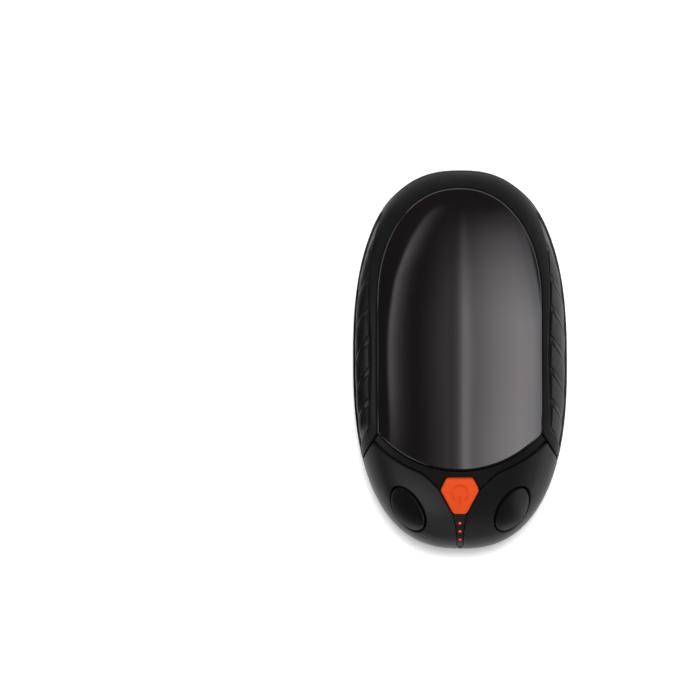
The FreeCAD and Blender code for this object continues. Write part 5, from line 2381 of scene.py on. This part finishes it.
    def _drum(self, paint: NodePaint, radius: float, levels: Span, shown: Shown, *lit: str) -> None:
        """Sets up a round wall, with a lid if it is the tent.

        Args:
            paint: Its material.
            radius: Its radius.
            levels: Its lower and its upper level.
            shown: What it shows to.
            lit: Pieces that alone are lit by it.
        """
        count = self.drum_sides
        places = [place for level in levels for place in self._circle(radius, count, level)]
        faces = [[i, (i + 1) % count, count + (i + 1) % count, count + i] for i in range(count)]
        if shown is Shown.TENT:
            faces.append(list(range(count, 2 * count)))
        self._set_up(paint, places, faces, shown, *lit)

    def _low_band(self) -> None:
        """Pale band low down all round, which the panel mirrors when it is seen from its sides."""
        paint = NodePaint("low_band")
        bench = paint.bench
        rising = bench.graded(paint.axis("Z"), self.low_levels, self.low_glow)
        turned = bench.graded(paint.axis("X"), (-self.low_radius, self.low_radius), self.low_across)
        bench.feed(paint.surface, paint.glow(bench.maths("MULTIPLY", rising, turned)))
        self._drum(paint, self.low_radius, self.low_levels, Shown.CARD, "warm_panel_skin")

    def _field(self, bench: Bench, across: tuple[NodeSocket, Stops], along: tuple[NodeSocket, Stops],
               strength: float) -> NodeSocket:
        """Strength of a card overhead, graded across and along.

        Args:
            bench: Tree to work in.
            across: Place across and the grading over it.
            along: Place along and the grading over it.
            strength: Strength at the most.

        Returns:
            The strength at the place.
        """
        one = bench.graded(across[0], self.card_across, across[1])
        two = bench.graded(along[0], self.card_along, along[1])
        return bench.maths("MULTIPLY", bench.maths("MULTIPLY", one, two), strength)

    def _overhead(self, paint: NodePaint, across: Span, along: Span, height: float, *lit: str) -> None:
        """Hangs a level card that only gloss shows.

        Args:
            paint: Its material.
            across: Its left and its right edge.
            along: Its near and its far edge.
            height: Its height.
            lit: Pieces that alone are lit by it.
        """
        (left, right), (near, far) = across, along
        corners = ((left, near), (left, far), (right, far), (right, near))
        self._set_up(paint, [(x, y, height) for x, y in corners], [range(4)], Shown.CARD, *lit)

    def _card(self) -> None:
        """Broad graded card overhead: bright on the right, with a thin bent band on the left."""
        paint = NodePaint("graded_card")
        bench = paint.bench
        across, along = paint.axis("X"), paint.axis("Y")
        near = bench.maths("MINIMUM", along, 0.0)
        widening = bench.maths("MULTIPLY_ADD", bench.maths("MULTIPLY", near, near), self.card_barrel, 1.0)
        narrowed = bench.maths("DIVIDE", across, widening)
        bowed = bench.maths("MULTIPLY_ADD", bench.maths("MULTIPLY", across, across), self.card_bow, 1.0)
        far = bench.maths("MAXIMUM", bench.maths("SUBTRACT", along, self.card_bend_start), 0.0)
        bent = bench.maths("SUBTRACT", narrowed, bench.maths("MULTIPLY", far, self.card_bend))
        drawn = bench.maths("ADD", near, bench.maths("DIVIDE", bench.maths("MAXIMUM", along, 0.0), bowed))
        cool = bench.graded(narrowed, self.card_across, self.cool_across)
        tint = bench.blend(cool, self.warm_light, self.cool_light)
        broad = self._field(bench, (narrowed, self.glow_across), (drawn, self.glow_along), self.card_strength)
        thin = self._field(bench, (bent, self.band_across), (along, self.band_along), self.card_strength)
        both = bench.node("ShaderNodeAddShader")
        bench.feed(both.inputs[0], paint.glow(broad, tint))
        bench.feed(both.inputs[1], paint.glow(thin, self.cool_light))
        bench.feed(paint.surface, both.outputs[0])
        self._overhead(paint, self.card_across, self.card_along, self.card_height, "warm_panel_skin")

    def _front_card(self) -> None:
        """Weak card over the left cheek."""
        paint = NodePaint("front_card")
        across, along = (paint.axis("X"), self.front_across), (paint.axis("Y"), self.front_along)
        strength = self._field(paint.bench, across, along, self.front_strength)
        paint.bench.feed(paint.surface, paint.glow(strength))
        ends = ((stops[0][0], stops[-1][0]) for stops in (self.front_across, self.front_along))
        self._overhead(paint, *ends, self.front_height, "cheek_skin_left")

    def _upright(self, name: str, foot: Stops, stops: Stops, *lit: str) -> None:
        """Sets up an upright card that only gloss shows.

        Args:
            name: Its name.
            foot: Both ends of its foot, as places across and along.
            stops: Levels and strengths in order.
            lit: Pieces that alone are lit by it, or none where it lights them all.
        """
        paint = NodePaint(name)
        low, high = stops[0][0], stops[-1][0]
        strength = paint.bench.graded(paint.axis("Z"), (low, high), stops)
        paint.bench.feed(paint.surface, paint.glow(strength))
        one, two = foot
        corners = [(*one, low), (*two, low), (*two, high), (*one, high)]
        self._set_up(paint, corners, [range(4)], Shown.CARD, *lit)

    def _flag(self) -> None:
        """Black flag close to the left side, which keeps that flank dark."""
        paint = NodePaint("black_flag")
        paint.bench.feed(paint.surface, paint.matt(self.flag_shade))
        (near, far), (low, high) = self.flag_along, self.flag_levels
        corners = ((near, low), (far, low), (far, high), (near, high))
        self._set_up(paint, [(self.flag_place, y, z) for y, z in corners], [range(4)], Shown.CARD)

    def _lamp(self, name: str, place: Vector) -> None:
        """Hangs a broad lamp for what is matt: one above casts the shadow, one below lights the back.

        Args:
            name: Its name.
            place: Where it hangs, turned to the origin.
        """
        data = bpy.data.lights.new(name, "AREA")
        data.shape = "DISK"
        data.size = self.key_size
        data.energy = self.key_level * math.pi ** 2 * (place.length ** 2 + (self.key_size / 2) ** 2)
        lamp = bpy.data.objects.new(name, data)
        lamp.matrix_world = Matrix.Translation(place) @ place.to_track_quat("Z", "Y").to_matrix().to_4x4()
        lamp.visible_camera = False
        lamp.visible_glossy = False
        bpy.context.scene.collection.objects.link(lamp)


def clear_startup() -> None:
    """Takes away the objects that a new file starts with."""
    for name in ("Cube", "Light", "Camera"):
        extra = bpy.data.objects.get(name)
        if extra is not None:
            bpy.data.objects.remove(extra)


def main() -> None:
    """Builds the object, the studio and the camera."""
    logging.basicConfig(level=logging.INFO, format="%(name)s %(message)s")
    clear_startup()
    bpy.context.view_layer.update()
    layout = Layout()
    finishes = Finishes()
    grip = GripShape()
    Viewpoint().build()
    pieces = (
        HeatPanel(layout), FrontFrame(layout, grip), Cheeks(layout), Grips(layout, grip), PowerButton(layout),
        ChargeLights(layout), BackCover(layout), Interior(),
    )
    for piece in pieces:
        piece.dress(finishes)
    Studio().build()


if __name__ == "__main__":
    main()
